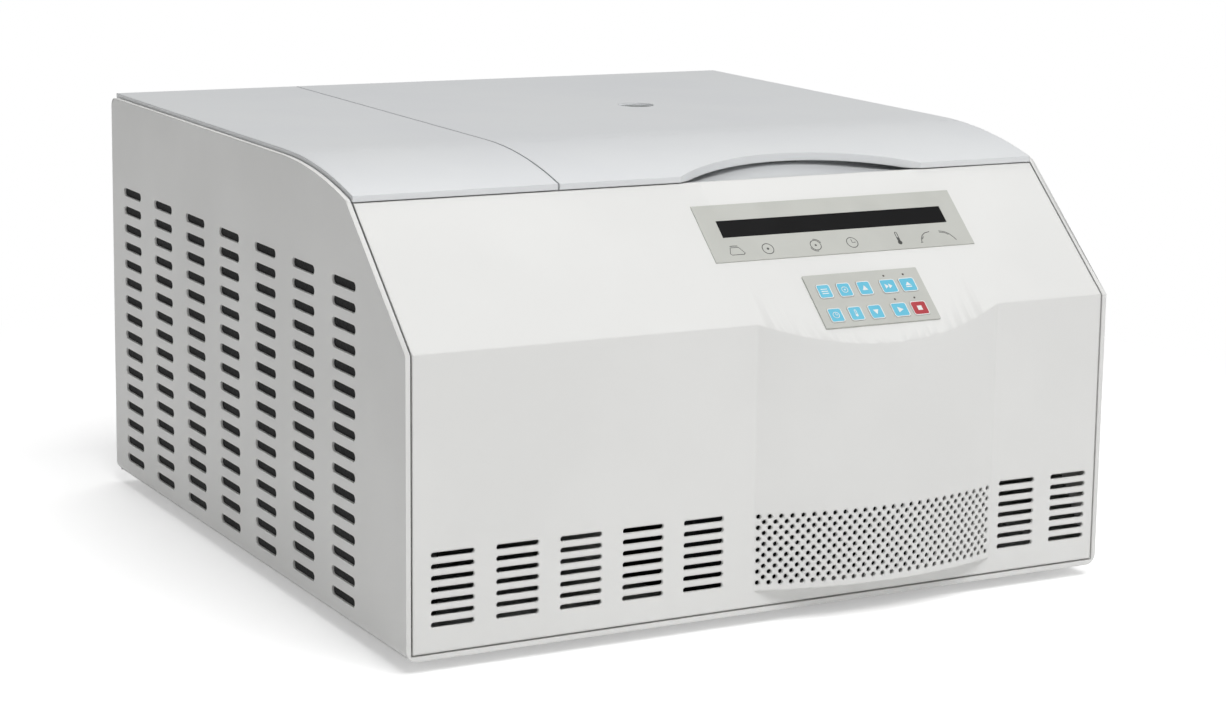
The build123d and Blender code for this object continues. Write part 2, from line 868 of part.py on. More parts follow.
# Rotor: shaft with its collar, yoke, nut and the four hanging buckets
yoke_z = base_z + yoke_rise
trunnion_z = yoke_z + yoke_height / 2
nut_z = yoke_z + yoke_height
with BuildPart() as drive_shaft:
    with BuildSketch(axis_plane.offset(motor_top_z - shaft_seat + seal_gap)):
        Circle(shaft_diameter / 2)
    extrude(amount=nut_z + nut_height - motor_top_z + shaft_seat - seal_gap)
    with BuildSketch(axis_plane.offset(yoke_z - collar_height)):
        Circle(collar_diameter / 2)
    extrude(amount=collar_height)
save(drive_shaft, "drive_shaft")

bay_inner = bucket_circle - math.hypot(bucket_bore / 2 + bucket_wall, bucket_top) - bay_gap
with BuildPart() as rotor_yoke:
    with BuildSketch(axis_plane.offset(yoke_z)):
        Circle(yoke_radius)
        with PolarLocations(bay_inner, 4):
            Rectangle(
                yoke_radius, bucket_bay, align=(Align.MIN, Align.CENTER), mode=Mode.SUBTRACT
            )
        Circle(shaft_diameter / 2, mode=Mode.SUBTRACT)
    extrude(amount=yoke_height)
    for quarter in range(4):
        turned = Plane((chamber_x, chamber_y, trunnion_z)).rotated((0, 0, 90 * quarter))
        for side in (-1, 1):
            pin_plane = Plane(
                turned.from_local_coords((bucket_circle, side * (bucket_bay / 2 + trunnion_root), 0)),
                x_dir=(0, 0, 1),
                z_dir=turned.y_dir * -side,
            )
            with BuildSketch(pin_plane):
                Circle(trunnion_pin / 2)
            extrude(amount=trunnion_root + trunnion_gap + trunnion_depth)
save(rotor_yoke, "rotor_yoke")

with BuildPart() as rotor_nut:
    with BuildSketch(axis_plane.offset(nut_z)):
        RegularPolygon(nut_radius, 6)
        Circle(shaft_diameter / 2, mode=Mode.SUBTRACT)
    extrude(amount=nut_height)
save(rotor_nut, "rotor_nut")

bucket_outer = bucket_bore / 2 + bucket_wall
for number in range(4):
    spot = Plane((chamber_x, chamber_y, 0)).rotated((0, 0, 90 * number))
    centre = spot.from_local_coords((bucket_circle, 0, trunnion_z))
    bucket_base = Plane((centre.X, centre.Y, trunnion_z - bucket_depth), x_dir=spot.x_dir)
    boss_plane = Plane((centre.X, centre.Y, trunnion_z), x_dir=(0, 0, 1), z_dir=spot.y_dir)
    boss_reach = bucket_bay / 2 - trunnion_gap
    with BuildPart() as bucket:
        with BuildSketch(bucket_base):
            Circle(bucket_outer)
        extrude(amount=bucket_depth + bucket_top)
        chamfer(bucket.edges().group_by(Axis.Z)[0], bucket_base_chamfer)
        with BuildSketch(boss_plane):
            Circle(trunnion_boss / 2)
        extrude(amount=boss_reach, both=True)
        with BuildSketch(bucket_base.offset(bucket_wall)):
            Circle(bucket_bore / 2)
        extrude(amount=bucket_depth + bucket_top, mode=Mode.SUBTRACT)
        for side in (-1, 1):
            with BuildSketch(boss_plane.offset(side * boss_reach)):
                Circle(trunnion_pin / 2 + pin_gap)
            extrude(amount=-side * (trunnion_depth + pin_gap), mode=Mode.SUBTRACT)
    save(bucket, f"bucket_{number + 1}")

# Lid hinges: brackets with ears on the deck, lugs under the lid, pins through both
bracket_half = ear_offset + hinge_ear + hinge_foot
bracket_front_y = hinge_y - hinge_reach
bracket_back_y = rear_y - sheet - fit_gap
lug_top_z = lid_top_z - cover_wall

with BuildPart() as hinge_brackets:
    for hinge_x in hinge_places:
        with BuildSketch(side_plane.offset(hinge_x - bracket_half)):
            with Locations((bracket_front_y, deck_z)):
                Rectangle(bracket_back_y - bracket_front_y, deck_sheet, align=(Align.MIN, Align.MIN))
        extrude(amount=2 * bracket_half)
        for ear_x in (hinge_x - ear_offset - hinge_ear, hinge_x + ear_offset):
            with BuildSketch(side_plane.offset(ear_x)):
                with Locations((hinge_y, hinge_z)):
                    Circle(hinge_eye)
                with BuildLine():
                    Polyline(
                        (hinge_y + hinge_eye / 2, hinge_z),
                        (bracket_back_y - hinge_ear / 2, deck_z + deck_sheet / 2),
                        (bracket_front_y, deck_z + deck_sheet / 2),
                        (hinge_y - hinge_eye, hinge_z),
                        close=True,
                    )
                make_face()
                with Locations((hinge_y, hinge_z)):
                    Circle(hinge_pin / 2, mode=Mode.SUBTRACT)
            extrude(amount=hinge_ear)
save(hinge_brackets, "hinge_brackets")

with BuildPart() as hinge_pins:
    for hinge_x in hinge_places:
        with BuildSketch(side_plane.offset(hinge_x)):
            with Locations((hinge_y, hinge_z)):
                Circle(hinge_pin / 2)
        extrude(amount=ear_offset + hinge_ear + hinge_pin_end, both=True)
save(hinge_pins, "hinge_pins")

with BuildPart() as hinge_lugs:
    for hinge_x in hinge_places:
        with BuildSketch(side_plane.offset(hinge_x)):
            with BuildLine():
                Polyline(
                    (hinge_y, lug_top_z),
                    (hinge_y - lug_length, lug_top_z),
                    (hinge_y - lug_length, lug_top_z - lug_thickness),
                    (hinge_y - hinge_eye, hinge_z - hinge_eye / 2),
                    (hinge_y, hinge_z),
                    close=True,
                )
            make_face()
            with Locations((hinge_y, hinge_z)):
                Circle(hinge_eye)
                Circle(hinge_pin / 2 + hinge_bore_gap, mode=Mode.SUBTRACT)
        extrude(amount=hinge_lug / 2, both=True)
save(hinge_lugs, "hinge_lugs")

# Latch: striker plate under the lid, housing with its pin under the deck, hook for the striker's window
bar_z = deck_z - striker_drop
hook_y = latch_y - hook_reach
hook_z = bar_z - hook_drop
with BuildPart() as lid_striker:
    with BuildSketch(Plane.XY.offset(deck_z)):
        with Locations((chamber_x, latch_y)):
            Rectangle(striker_foot, striker_foot_depth)
    extrude(amount=side_height)
    add(
        cover_block(lid_left, lid_right, 0, cover_wall, cover_wall + striker_wire),
        mode=Mode.INTERSECT,
    )
    leg_top = crown_height(latch_y, crown_radius + cover_proud) - cover_wall - striker_wire / 2
    with BuildSketch(Plane.XZ.offset(-latch_y)):
        with Locations((chamber_x, bar_z - striker_wire / 2)):
            Rectangle(
                striker_width, leg_top - bar_z + striker_wire / 2, align=(Align.CENTER, Align.MIN)
            )
        with Locations((chamber_x, bar_z + striker_wire / 2)):
            Rectangle(
                striker_window,
                striker_drop + striker_wire,
                align=(Align.CENTER, Align.MIN),
                mode=Mode.SUBTRACT,
            )
    extrude(amount=striker_wire / 2, both=True)
save(lid_striker, "lid_striker")

housing_y = latch_y - (housing_front - housing_back) / 2
with BuildPart() as latch_housing:
    with BuildSketch(Plane.XY.offset(under_deck_z)):
        with Locations((chamber_x, housing_y)):
            Rectangle(latch_width, housing_front + housing_back)
    extrude(amount=-latch_height)
    with BuildSketch(Plane.XY.offset(under_deck_z)):
        with Locations((chamber_x, housing_y)):
            Rectangle(housing_bay, housing_front + housing_back - 2 * housing_wall)
    extrude(amount=-latch_height + housing_wall, mode=Mode.SUBTRACT)
    with BuildSketch(side_plane.offset(chamber_x)):
        with Locations((hook_y, hook_z)):
            Circle(hook_pin / 2)
    extrude(amount=latch_width / 2, both=True)
save(latch_housing, "latch_housing")

with BuildPart() as latch_hook:
    hook_section = Plane((chamber_x, hook_y, hook_z), x_dir=(0, 1, 0), z_dir=(1, 0, 0))
    bar_distance = math.hypot(hook_reach, hook_drop)
    nose_inner = bar_distance + striker_wire / 2 + hook_clearance
    nose_outer = nose_inner + hook_thickness
    with BuildSketch(hook_section):
        with BuildLine():
            inner = CenterArc((0, 0), nose_inner, hook_from, hook_to - hook_from)
            outer = CenterArc((0, 0), nose_outer, hook_from, hook_to - hook_from)
            Line(inner @ 0, outer @ 0)
            Line(inner @ 1, outer @ 1)
        make_face()
        with Locations(Location((0, 0), hook_to - hook_spoke)):
            spoke = nose_inner + hook_thickness / 2
            Rectangle(spoke, hook_thickness, align=(Align.MIN, Align.CENTER))
        Circle(hook_pin)
        Circle(hook_pin / 2 + pin_gap, mode=Mode.SUBTRACT)
    extrude(amount=hook_width / 2, both=True)
save(latch_hook, "latch_hook")


def comb(place, length, height, depth, count, rib, back):
    # ribs standing side by side on a thin back, in a sketch plane whose x runs across the ribs
    with BuildSketch(place) as outline:
        with Locations((0, back)):
            with GridLocations((length - rib) / (count - 1), 1, count, 1):
                Rectangle(rib, height - back, align=(Align.CENTER, Align.MIN))
        Rectangle(length, back, align=(Align.CENTER, Align.MIN))
    return extrude(outline.sketch, amount=depth, mode=Mode.PRIVATE)


# Left compartment: condenser with its fan, compressor on its grommets
with BuildPart() as condenser:
    comb_place = Plane(
        (condenser_x - condenser_depth / 2, front_y + condenser_y, base_top_z),
        x_dir=(0, 1, 0),
        z_dir=(0, 0, 1),
    )
    for turn in (0, 180):
        half = comb(
            comb_place, condenser_length, condenser_depth / 2, condenser_height,
            condenser_fins, condenser_fin, condenser_fin,
        )
        middle = Axis((condenser_x, front_y + condenser_y, 0), (0, 0, 1))
        add(half.moved(Location((condenser_depth, 0, 0))).rotate(middle, turn))
save(condenser, "condenser")

fan_x = condenser_x + condenser_depth / 2 + fan_gap
fan_y = front_y + condenser_y
fan_z = base_top_z + fan_size / 2
fan_plane = Plane((fan_x, fan_y, fan_z), x_dir=(0, 1, 0), z_dir=(1, 0, 0))
arm_plane = fan_plane.offset(fan_depth - fan_arm_depth)
with BuildPart() as fan_frame:
    with BuildSketch(fan_plane):
        RectangleRounded(fan_size, fan_size, fan_arm_width)
        Circle(fan_bore / 2, mode=Mode.SUBTRACT)
    extrude(amount=fan_depth)
    with BuildSketch(arm_plane):
        with PolarLocations(0, 4, start_angle=fan_arm_turn):
            Rectangle(fan_bore / 2 + fan_root, fan_arm_width, align=(Align.MIN, Align.CENTER))
        Circle(fan_hub / 2)
    extrude(amount=fan_arm_depth)
    with BuildSketch(arm_plane):
        Circle(fan_pin / 2)
    extrude(amount=-fan_hub_depth + fit_gap)
save(fan_frame, "fan_frame")

blade_length = fan_bore / 2 - fan_running_gap - fan_hub / 2 + fan_root
blade_middle = fan_hub / 2 - fan_root + blade_length / 2
hub_plane = arm_plane.offset(-fit_gap)
with BuildPart(hub_plane) as fan_rotor:
    with BuildSketch(hub_plane):
        Circle(fan_hub / 2)
        Circle(fan_pin / 2 + pin_gap, mode=Mode.SUBTRACT)
    extrude(amount=-fan_hub_depth)
    with Locations((0, 0, -fan_hub_depth / 2)):
        with PolarLocations(blade_middle, fan_blades):
            Box(blade_length, fan_chord, fan_blade_thickness, rotation=(fan_pitch, 0, 0))
save(fan_rotor, "fan_rotor")

compressor_plane = Plane((compressor_x, front_y + compressor_y, 0))
compressor_z = base_top_z + compressor_grommet
with BuildPart() as compressor_grommets:
    with BuildSketch(compressor_plane.offset(base_top_z)):
        with GridLocations(compressor_foot_x, compressor_foot_y, 2, 2):
            Circle(compressor_grommet / 2)
    extrude(amount=compressor_grommet)
save(compressor_grommets, "compressor_grommets")

with BuildPart() as compressor:
    with BuildSketch(compressor_plane.offset(compressor_z)):
        RectangleRounded(
            compressor_foot_x + 2 * compressor_grommet,
            compressor_foot_y + 2 * compressor_grommet,
            compressor_grommet,
        )
    extrude(amount=base_sheet)
    with BuildSketch(compressor_plane.offset(compressor_z)):
        Circle(compressor_radius)
    extrude(amount=compressor_height)
    chamfer(compressor.edges().group_by(Axis.Z)[-1], compressor_dome)
    with BuildSketch(compressor_plane.offset(compressor_z + terminal_rise)):
        with Locations((0, -compressor_radius)):
            Rectangle(terminal_width, terminal_depth)
    extrude(amount=terminal_width)
save(compressor, "compressor")

# Drive electronics, in a box with cooling ribs on top
with BuildPart() as drive_box:
    rib_place = Plane(
        (drive_box_x - drive_box_length / 2, front_y + drive_box_y, base_top_z),
        x_dir=(0, 1, 0),
        z_dir=(1, 0, 0),
    )
    box_body = drive_box_height - drive_rib_height
    add(
        comb(
            rib_place, drive_box_depth, drive_box_height, drive_box_length,
            drive_ribs, drive_rib, box_body,
        )
    )
save(drive_box, "drive_box")

# Display: overlay with its window on the slant, module behind
with BuildPart() as display_bezel:
    with BuildSketch(slant_plane):
        with Locations((bezel_x, bezel_rise)):
            Rectangle(bezel_length, bezel_height)
        with Locations((bezel_x, window_rise)):
            Rectangle(window_length, window_height, mode=Mode.SUBTRACT)
    extrude(amount=bezel_thickness)
save(display_bezel, "display_bezel")

with BuildPart() as display_window:
    with BuildSketch(slant_plane):
        with Locations((bezel_x, window_rise)):
            Rectangle(window_length - key_gap, window_height - key_gap)
    extrude(amount=bezel_thickness)
save(display_window, "display_window")

with BuildPart() as display_board:
    with BuildSketch(slant_plane.offset(-panel_wall)):
        with Locations((bezel_x, window_rise)):
            Rectangle(window_length + 2 * window_margin, window_height + 4 * window_margin)
    extrude(amount=-board_thickness)
save(display_board, "display_board")

# Keypad: plate with a pocket for each key and a hole for each lamp
row_names = ("top", "bottom")
key_places = [
    (row_names[row], column + 1, x, key_rows[row], width)
    for row in range(2)
    for column, (x, width) in enumerate(key_columns)
]
lamp_places = [(x, rise + lamp_above_key) for row, column, x, rise, width in key_places if column > 3]
with BuildPart() as keypad_plate:
    with BuildSketch(slant_plane):
        with Locations((keypad_x, keypad_rise)):
            Rectangle(keypad_length, keypad_height)
        for row, column, x, rise, width in key_places:
            with Locations((x, rise)):
                Rectangle(width + 2 * key_gap, key_height + 2 * key_gap, mode=Mode.SUBTRACT)
        with Locations(*lamp_places):
            Circle(lamp_radius + pin_gap, mode=Mode.SUBTRACT)
    extrude(amount=keypad_thickness)
save(keypad_plate, "keypad_plate")

with BuildPart() as indicator_lamps:
    with BuildSketch(slant_plane):
        with Locations(*lamp_places):
            Circle(lamp_radius)
    extrude(amount=keypad_thickness)
save(indicator_lamps, "indicator_lamps")

for row, column, x, rise, width in key_places:
    with BuildPart() as key:
        with BuildSketch(slant_plane.offset(key_lift)):
            with Locations((x, rise)):
                Rectangle(width, key_height)
        extrude(amount=key_thickness)
    save(key, f"key_{row}_{column}")

# Power inlet with its rocker switch, in the rear panel
inlet_centre = (inlet_x, inlet_rise)
socket_x = inlet_x + inlet_width / 2 - inlet_border - socket_width / 2
rocker_x = inlet_x - inlet_width / 2 + inlet_border + rocker_width / 2
with BuildPart() as mains_inlet:
    with BuildSketch(rear_plane):
        with Locations(inlet_centre):
            RectangleRounded(inlet_width + 2 * inlet_rim, inlet_height + 2 * inlet_rim, inlet_rim)
    extrude(amount=-flange_thickness)
    with BuildSketch(rear_plane):
        with Locations(inlet_centre):
            Rectangle(inlet_width - fit_gap, inlet_height - fit_gap)
    extrude(amount=inlet_depth)
    with BuildSketch(rear_plane.offset(-flange_thickness)):
        with Locations((socket_x, inlet_rise)):
            Rectangle(socket_width, socket_height)
    extrude(amount=socket_depth, mode=Mode.SUBTRACT)
    with BuildSketch(rear_plane.offset(-flange_thickness)):
        with Locations((rocker_x, inlet_rise)):
            Rectangle(rocker_width + 2 * rocker_gap, rocker_height + 2 * rocker_gap)
    extrude(amount=rocker_recess, mode=Mode.SUBTRACT)
    pivot_y = rear_y + flange_thickness - rocker_pivot_depth
    with BuildSketch(side_plane.offset(rocker_x)):
        with Locations((pivot_y, base_z + inlet_rise)):
            Circle(rocker_stub / 2 + pin_gap)
    extrude(amount=rocker_width / 2 + rocker_gap + rocker_stub / 2, both=True, mode=Mode.SUBTRACT)
    with BuildSketch(rear_plane.offset(socket_depth - flange_thickness)):
        with Locations((socket_x, inlet_rise)):
            with Locations((0, socket_pin_drop), (socket_pin_spread, 0), (-socket_pin_spread, 0)):
                Rectangle(socket_pin_width, socket_pin_height)
    extrude(amount=-socket_pin_length)
save(mains_inlet, "mains_inlet")

with BuildPart() as power_rocker:
    tilt = math.radians(rocker_tilt)
    rocker_section = Plane(
        (rocker_x, pivot_y, base_z + inlet_rise),
        x_dir=(0, math.cos(tilt), math.sin(tilt)),
        z_dir=(1, 0, 0),
    )
    with BuildSketch(rocker_section):
        with BuildLine():
            Polyline(
                (-rocker_back, -rocker_half),
                (rocker_pivot_depth, -rocker_half),
                (rocker_pivot_depth - rocker_dip, 0),
                (rocker_pivot_depth, rocker_half),
                (-rocker_back, rocker_half),
                close=True,
            )
        make_face()
    extrude(amount=rocker_width / 2, both=True)
    with BuildSketch(rocker_section):
        Circle(rocker_stub / 2)
    extrude(amount=rocker_width / 2 + rocker_gap + rocker_stub / 2 - pin_gap, both=True)
save(power_rocker, "power_rocker")
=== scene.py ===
import json
import math

import bmesh
import bpy
from mathutils import Matrix, Vector


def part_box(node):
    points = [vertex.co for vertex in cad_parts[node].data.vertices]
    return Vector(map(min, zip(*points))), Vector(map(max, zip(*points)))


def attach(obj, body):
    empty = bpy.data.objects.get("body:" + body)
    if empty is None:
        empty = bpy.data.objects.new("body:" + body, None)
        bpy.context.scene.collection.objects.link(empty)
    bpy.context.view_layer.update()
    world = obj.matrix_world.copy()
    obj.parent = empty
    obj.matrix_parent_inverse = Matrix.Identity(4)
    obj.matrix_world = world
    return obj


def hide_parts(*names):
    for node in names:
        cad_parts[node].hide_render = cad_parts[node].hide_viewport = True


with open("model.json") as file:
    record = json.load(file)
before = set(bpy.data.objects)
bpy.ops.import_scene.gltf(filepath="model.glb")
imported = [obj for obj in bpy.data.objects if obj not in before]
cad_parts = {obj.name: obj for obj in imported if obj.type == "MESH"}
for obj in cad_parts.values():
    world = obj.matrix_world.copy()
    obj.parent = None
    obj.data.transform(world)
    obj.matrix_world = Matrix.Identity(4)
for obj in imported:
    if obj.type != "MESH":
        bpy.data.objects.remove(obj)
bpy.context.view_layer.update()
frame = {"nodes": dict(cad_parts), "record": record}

mm = 0.001
nodes = frame["nodes"]
bodyOf = {node: body for body, names in frame["record"]["behaviour"]["bodies"].items() for node in names}


class Wire:
    # an output of a node; sums, products and comparisons with it add Math nodes
    def __init__(self, net, socket):
        self.net = net
        self.socket = socket

    def math(self, operation, *others):
        inputs = dict(enumerate((self,) + others))
        return self.net.add("ShaderNodeMath", {"operation": operation}, inputs)[0]

    def __add__(self, other):
        return self.math("ADD", other)

    def __sub__(self, other):
        return self.math("SUBTRACT", other)

    def __mul__(self, other):
        return self.math("MULTIPLY", other)

    def __truediv__(self, other):
        return self.math("DIVIDE", other)

    def __pow__(self, other):
        return self.math("POWER", other)

    def ease(self, low, high):
        # 0 at low, 1 at high, smooth between
        inputs = {"Value": self, "From Min": low, "From Max": high}
        return self.net.add("ShaderNodeMapRange", {"interpolation_type": "SMOOTHSTEP"}, inputs)[0]


class Knot:
    # a node whose outputs are reached by name or number
    def __init__(self, net, node):
        self.net = net
        self.node = node

    def __getitem__(self, key):
        return Wire(self.net, self.node.outputs[key])


class Net:
    # a node tree of a material or of a shape
    def __init__(self, tree):
        self.tree = tree

    def add(self, kind, settings=None, inputs=None):
        node = self.tree.nodes.new(kind)
        for name, value in (settings or {}).items():
            if name == "stops":
                ramp = node.color_ramp
                while len(ramp.elements) < len(value):
                    ramp.elements.new(0.5)
                for element, (position, colour) in zip(ramp.elements, value):
                    element.position = position
                    element.color = colour
            else:
                setattr(node, name, value)
        for key, value in (inputs or {}).items():
            for part in value if isinstance(value, list) else [value]:
                if isinstance(part, Wire):
                    self.tree.links.new(part.socket, node.inputs[key])
                else:
                    node.inputs[key].default_value = part
        return Knot(self, node)

    def mix(self, factor, first, second):
        inputs = {0: factor, 6: first, 7: second}
        return self.add("ShaderNodeMix", {"data_type": "RGBA"}, inputs)[2]

    def noise(self, scale, detail=2.0, where=None, rough=0.5):
        inputs = {"Vector": where or self.place, "Scale": scale, "Detail": detail, "Roughness": rough}
        return self.add("ShaderNodeTexNoise", None, inputs)[0]

    def cells(self, scale, where=None, feature="F1"):
        inputs = {"Vector": where or self.place, "Scale": scale}
        return self.add("ShaderNodeTexVoronoi", {"feature": feature}, inputs)["Distance"]

    def stretched(self, scale):
        return self.add("ShaderNodeMapping", None, {"Vector": self.place, "Scale": scale})[0]

    def axes(self):
        split = self.add("ShaderNodeSeparateXYZ", None, {0: self.place})
        return split[0], split[1], split[2]

    def vector(self, x, y, z):
        return self.add("ShaderNodeCombineXYZ", None, {0: x, 1: y, 2: z})[0]


def rgb(red, green, blue):
    # a colour given as it looks on screen, 0 to 255
    def linear(value):
        value = value / 255
        return value / 12.92 if value <= 0.04045 else ((value + 0.055) / 1.055) ** 2.4

    return (linear(red), linear(green), linear(blue), 1.0)


def newFinish(name):
    material = bpy.data.materials.new(name)
    material.use_nodes = True
    material.node_tree.nodes.clear()
    net = Net(material.node_tree)
    net.material = material
    net.place = net.add("ShaderNodeTexCoord")["Object"]
    return net


def closeFinish(net, colour, roughness, height=None, lift=0.00004, edge=0.0, fixed=None):
    # surface shader with fine relief and softened edges
    inputs = {"Base Color": colour, "Roughness": roughness}
    inputs.update(fixed or {})
    normal = None
    if edge:
        normal = net.add("ShaderNodeBevel", {"samples": 4}, {"Radius": edge})[0]
    if height is not None:
        bump = {"Strength": 1.0, "Distance": lift, "Height": height}
        if normal:
            bump["Normal"] = normal
        normal = net.add("ShaderNodeBump", None, bump)[0]
    if normal:
        inputs["Normal"] = normal
    shader = net.add("ShaderNodeBsdfPrincipled", None, inputs)
    net.add("ShaderNodeOutputMaterial", None, {"Surface": shader[0]})
    return net.material


def coatedSurface(name, look):
    # sprayed or moulded shell: orange peel, faint cloudiness, a little dust in scattered specks
    net = newFinish(name)
    peel = net.noise(look["peelScale"], 2.0)
    cloud = net.noise(look["cloudScale"], 3.0)
    speck = net.cells(look["speckScale"]).ease(0.09, 0.04)
    tint = net.mix(cloud.ease(0.35, 0.65), look["colour"], look["shade"])
    tint = net.mix(speck * look["speckAmount"], tint, look["speckColour"])
    rough = cloud * look["roughSpread"] + (look["rough"] - look["roughSpread"] / 2)
    return closeFinish(net, tint, rough, peel, look["lift"], look["edge"], look["fixed"])


shellLooks = {
    "casePaint": {
        "colour": rgb(233, 233, 231), "shade": rgb(229, 229, 227), "speckColour": rgb(205, 204, 200),
        "peelScale": 620.0, "cloudScale": 7.0, "speckScale": 260.0, "speckAmount": 0.10,
        "rough": 0.42, "roughSpread": 0.08, "lift": 0.00005, "edge": 0.0008,
        "fixed": {"Specular IOR Level": 0.45},
    },
    "panelPaint": {
        "colour": rgb(236, 236, 234), "shade": rgb(233, 233, 231), "speckColour": rgb(212, 211, 208),
        "peelScale": 900.0, "cloudScale": 6.0, "speckScale": 300.0, "speckAmount": 0.06,
        "rough": 0.46, "roughSpread": 0.06, "lift": 0.00003, "edge": 0.0022,
        "fixed": {"Specular IOR Level": 0.4},
    },
    "coverPaint": {
        "colour": rgb(231, 233, 234), "shade": rgb(227, 229, 231), "speckColour": rgb(206, 208, 210),
        "peelScale": 480.0, "cloudScale": 5.0, "speckScale": 280.0, "speckAmount": 0.06,
        "rough": 0.33, "roughSpread": 0.07, "lift": 0.00003, "edge": 0.0012,
        "fixed": {"Specular IOR Level": 0.5},
    },
    "scoopPaint": {
        "colour": rgb(212, 214, 215), "shade": rgb(206, 208, 210), "speckColour": rgb(190, 192, 194),
        "peelScale": 700.0, "cloudScale": 9.0, "speckScale": 260.0, "speckAmount": 0.08,
        "rough": 0.36, "roughSpread": 0.08, "lift": 0.00004, "edge": 0.0008,
        "fixed": {"Specular IOR Level": 0.45},
    },
    "liningWhite": {
        "colour": rgb(226, 227, 224), "shade": rgb(220, 221, 217), "speckColour": rgb(200, 200, 196),
        "peelScale": 420.0, "cloudScale": 12.0, "speckScale": 200.0, "speckAmount": 0.12,
        "rough": 0.52, "roughSpread": 0.1, "lift": 0.00008, "edge": 0.0012,
        "fixed": {"Specular IOR Level": 0.4},
    },
    "steelSheet": {
        "colour": rgb(222, 223, 222), "shade": rgb(216, 217, 216), "speckColour": rgb(190, 190, 186),
        "peelScale": 560.0, "cloudScale": 8.0, "speckScale": 240.0, "speckAmount": 0.12,
        "rough": 0.45, "roughSpread": 0.1, "lift": 0.00006, "edge": 0.0004,
        "fixed": {"Specular IOR Level": 0.45},
    },
    "motorPaint": {
        "colour": rgb(38, 40, 43), "shade": rgb(30, 31, 34), "speckColour": rgb(92, 90, 86),
        "peelScale": 380.0, "cloudScale": 14.0, "speckScale": 180.0, "speckAmount": 0.3,
        "rough": 0.42, "roughSpread": 0.16, "lift": 0.00010, "edge": 0.0010,
        "fixed": {"Specular IOR Level": 0.5},
    },
    "armourSteel": {
        "colour": rgb(96, 98, 100), "shade": rgb(84, 85, 87), "speckColour": rgb(120, 104, 88),
        "peelScale": 300.0, "cloudScale": 11.0, "speckScale": 150.0, "speckAmount": 0.35,
        "rough": 0.5, "roughSpread": 0.18, "lift": 0.00012, "edge": 0.0008,
        "fixed": {"Metallic": 0.6},
    },
    "blackPlastic": {
        "colour": rgb(26, 26, 27), "shade": rgb(21, 21, 22), "speckColour": rgb(60, 60, 60),
        "peelScale": 900.0, "cloudScale": 20.0, "speckScale": 400.0, "speckAmount": 0.2,
        "rough": 0.44, "roughSpread": 0.12, "lift": 0.00005, "edge": 0.0005,
        "fixed": {"Specular IOR Level": 0.45},
    },
}
finishes = {name: coatedSurface(name, look) for name, look in shellLooks.items()}


def brushedMetal(name, look):
    # fine parallel or turned grain, darker where the grain stands high
    net = newFinish(name)
    if look["turned"]:
        x, y, z = net.axes()
        acrossX = x - look["axis"][0]
        acrossY = y - look["axis"][1]
        reach = (acrossX * acrossX + acrossY * acrossY) ** 0.5
        along = x * look["along"] + y * look["along"]
        grainPlace = net.vector(reach * look["grain"], z * look["grain"], along)
        grain = net.noise(1.0, 3.0, grainPlace)
    else:
        grain = net.noise(look["grain"], 3.0, net.stretched(look["stretch"]))
    smear = net.noise(look["smear"], 4.0)
    tint = net.mix(grain.ease(0.3, 0.7), look["colour"], look["shade"])
    rough = grain * look["roughSpread"] + smear * look["smearAmount"] + look["rough"]
    return closeFinish(net, tint, rough, grain, look["lift"], look["edge"], {"Metallic": look["metal"]})


chamberAxis = (0.095, 0.090055)
metalLooks = {
    "bowlSteel": {
        "turned": True, "axis": chamberAxis, "grain": 900.0, "along": 6.0, "smear": 9.0,
        "colour": rgb(206, 207, 208), "shade": rgb(186, 187, 189), "metal": 1.0,
        "rough": 0.18, "roughSpread": 0.14, "smearAmount": 0.12, "lift": 0.00001, "edge": 0.0008,
    },
    "rotorAlloy": {
        "turned": True, "axis": chamberAxis, "grain": 700.0, "along": 9.0, "smear": 14.0,
        "colour": rgb(196, 198, 201), "shade": rgb(178, 180, 184), "metal": 1.0,
        "rough": 0.2, "roughSpread": 0.12, "smearAmount": 0.15, "lift": 0.00001, "edge": 0.0012,
    },
    "bucketAlloy": {
        "turned": False, "stretch": (1.0, 1.0, 26.0), "grain": 60.0, "smear": 18.0,
        "colour": rgb(176, 180, 186), "shade": rgb(160, 164, 171), "metal": 1.0,
        "rough": 0.26, "roughSpread": 0.12, "smearAmount": 0.14, "lift": 0.00001, "edge": 0.0008,
    },
    "plateSteel": {
        "turned": False, "stretch": (1.0, 40.0, 40.0), "grain": 22.0, "smear": 16.0,
        "colour": rgb(190, 188, 178), "shade": rgb(170, 170, 164), "metal": 1.0,
        "rough": 0.28, "roughSpread": 0.14, "smearAmount": 0.18, "lift": 0.00002, "edge": 0.0005,
    },
    # condenser fins coloured near black so the side's vents stay dark: painted shade inside the vents
    "shadedFinAlloy": {
        "turned": False, "stretch": (30.0, 30.0, 1.0), "grain": 20.0, "smear": 24.0,
        "colour": rgb(52, 53, 55), "shade": rgb(36, 37, 39), "metal": 0.4,
        "rough": 0.42, "roughSpread": 0.12, "smearAmount": 0.18, "lift": 0.00002, "edge": 0.0003,
    },
    "copperTube": {
        "turned": True, "axis": chamberAxis, "grain": 260.0, "along": 20.0, "smear": 30.0,
        "colour": rgb(190, 118, 84), "shade": rgb(142, 84, 60), "metal": 1.0,
        "rough": 0.24, "roughSpread": 0.12, "smearAmount": 0.28, "lift": 0.00002, "edge": 0.0012,
    },
}
finishes.update({name: brushedMetal(name, look) for name, look in metalLooks.items()})


def rubberFinish(name, look):
    net = newFinish(name)
    grain = net.noise(look["grain"], 3.0)
    bloom = net.noise(look["bloom"], 4.0)
    tint = net.mix(bloom.ease(0.45, 0.75), look["colour"], look["chalk"])
    return closeFinish(net, tint, bloom * 0.2 + look["rough"], grain, look["lift"], look["edge"])


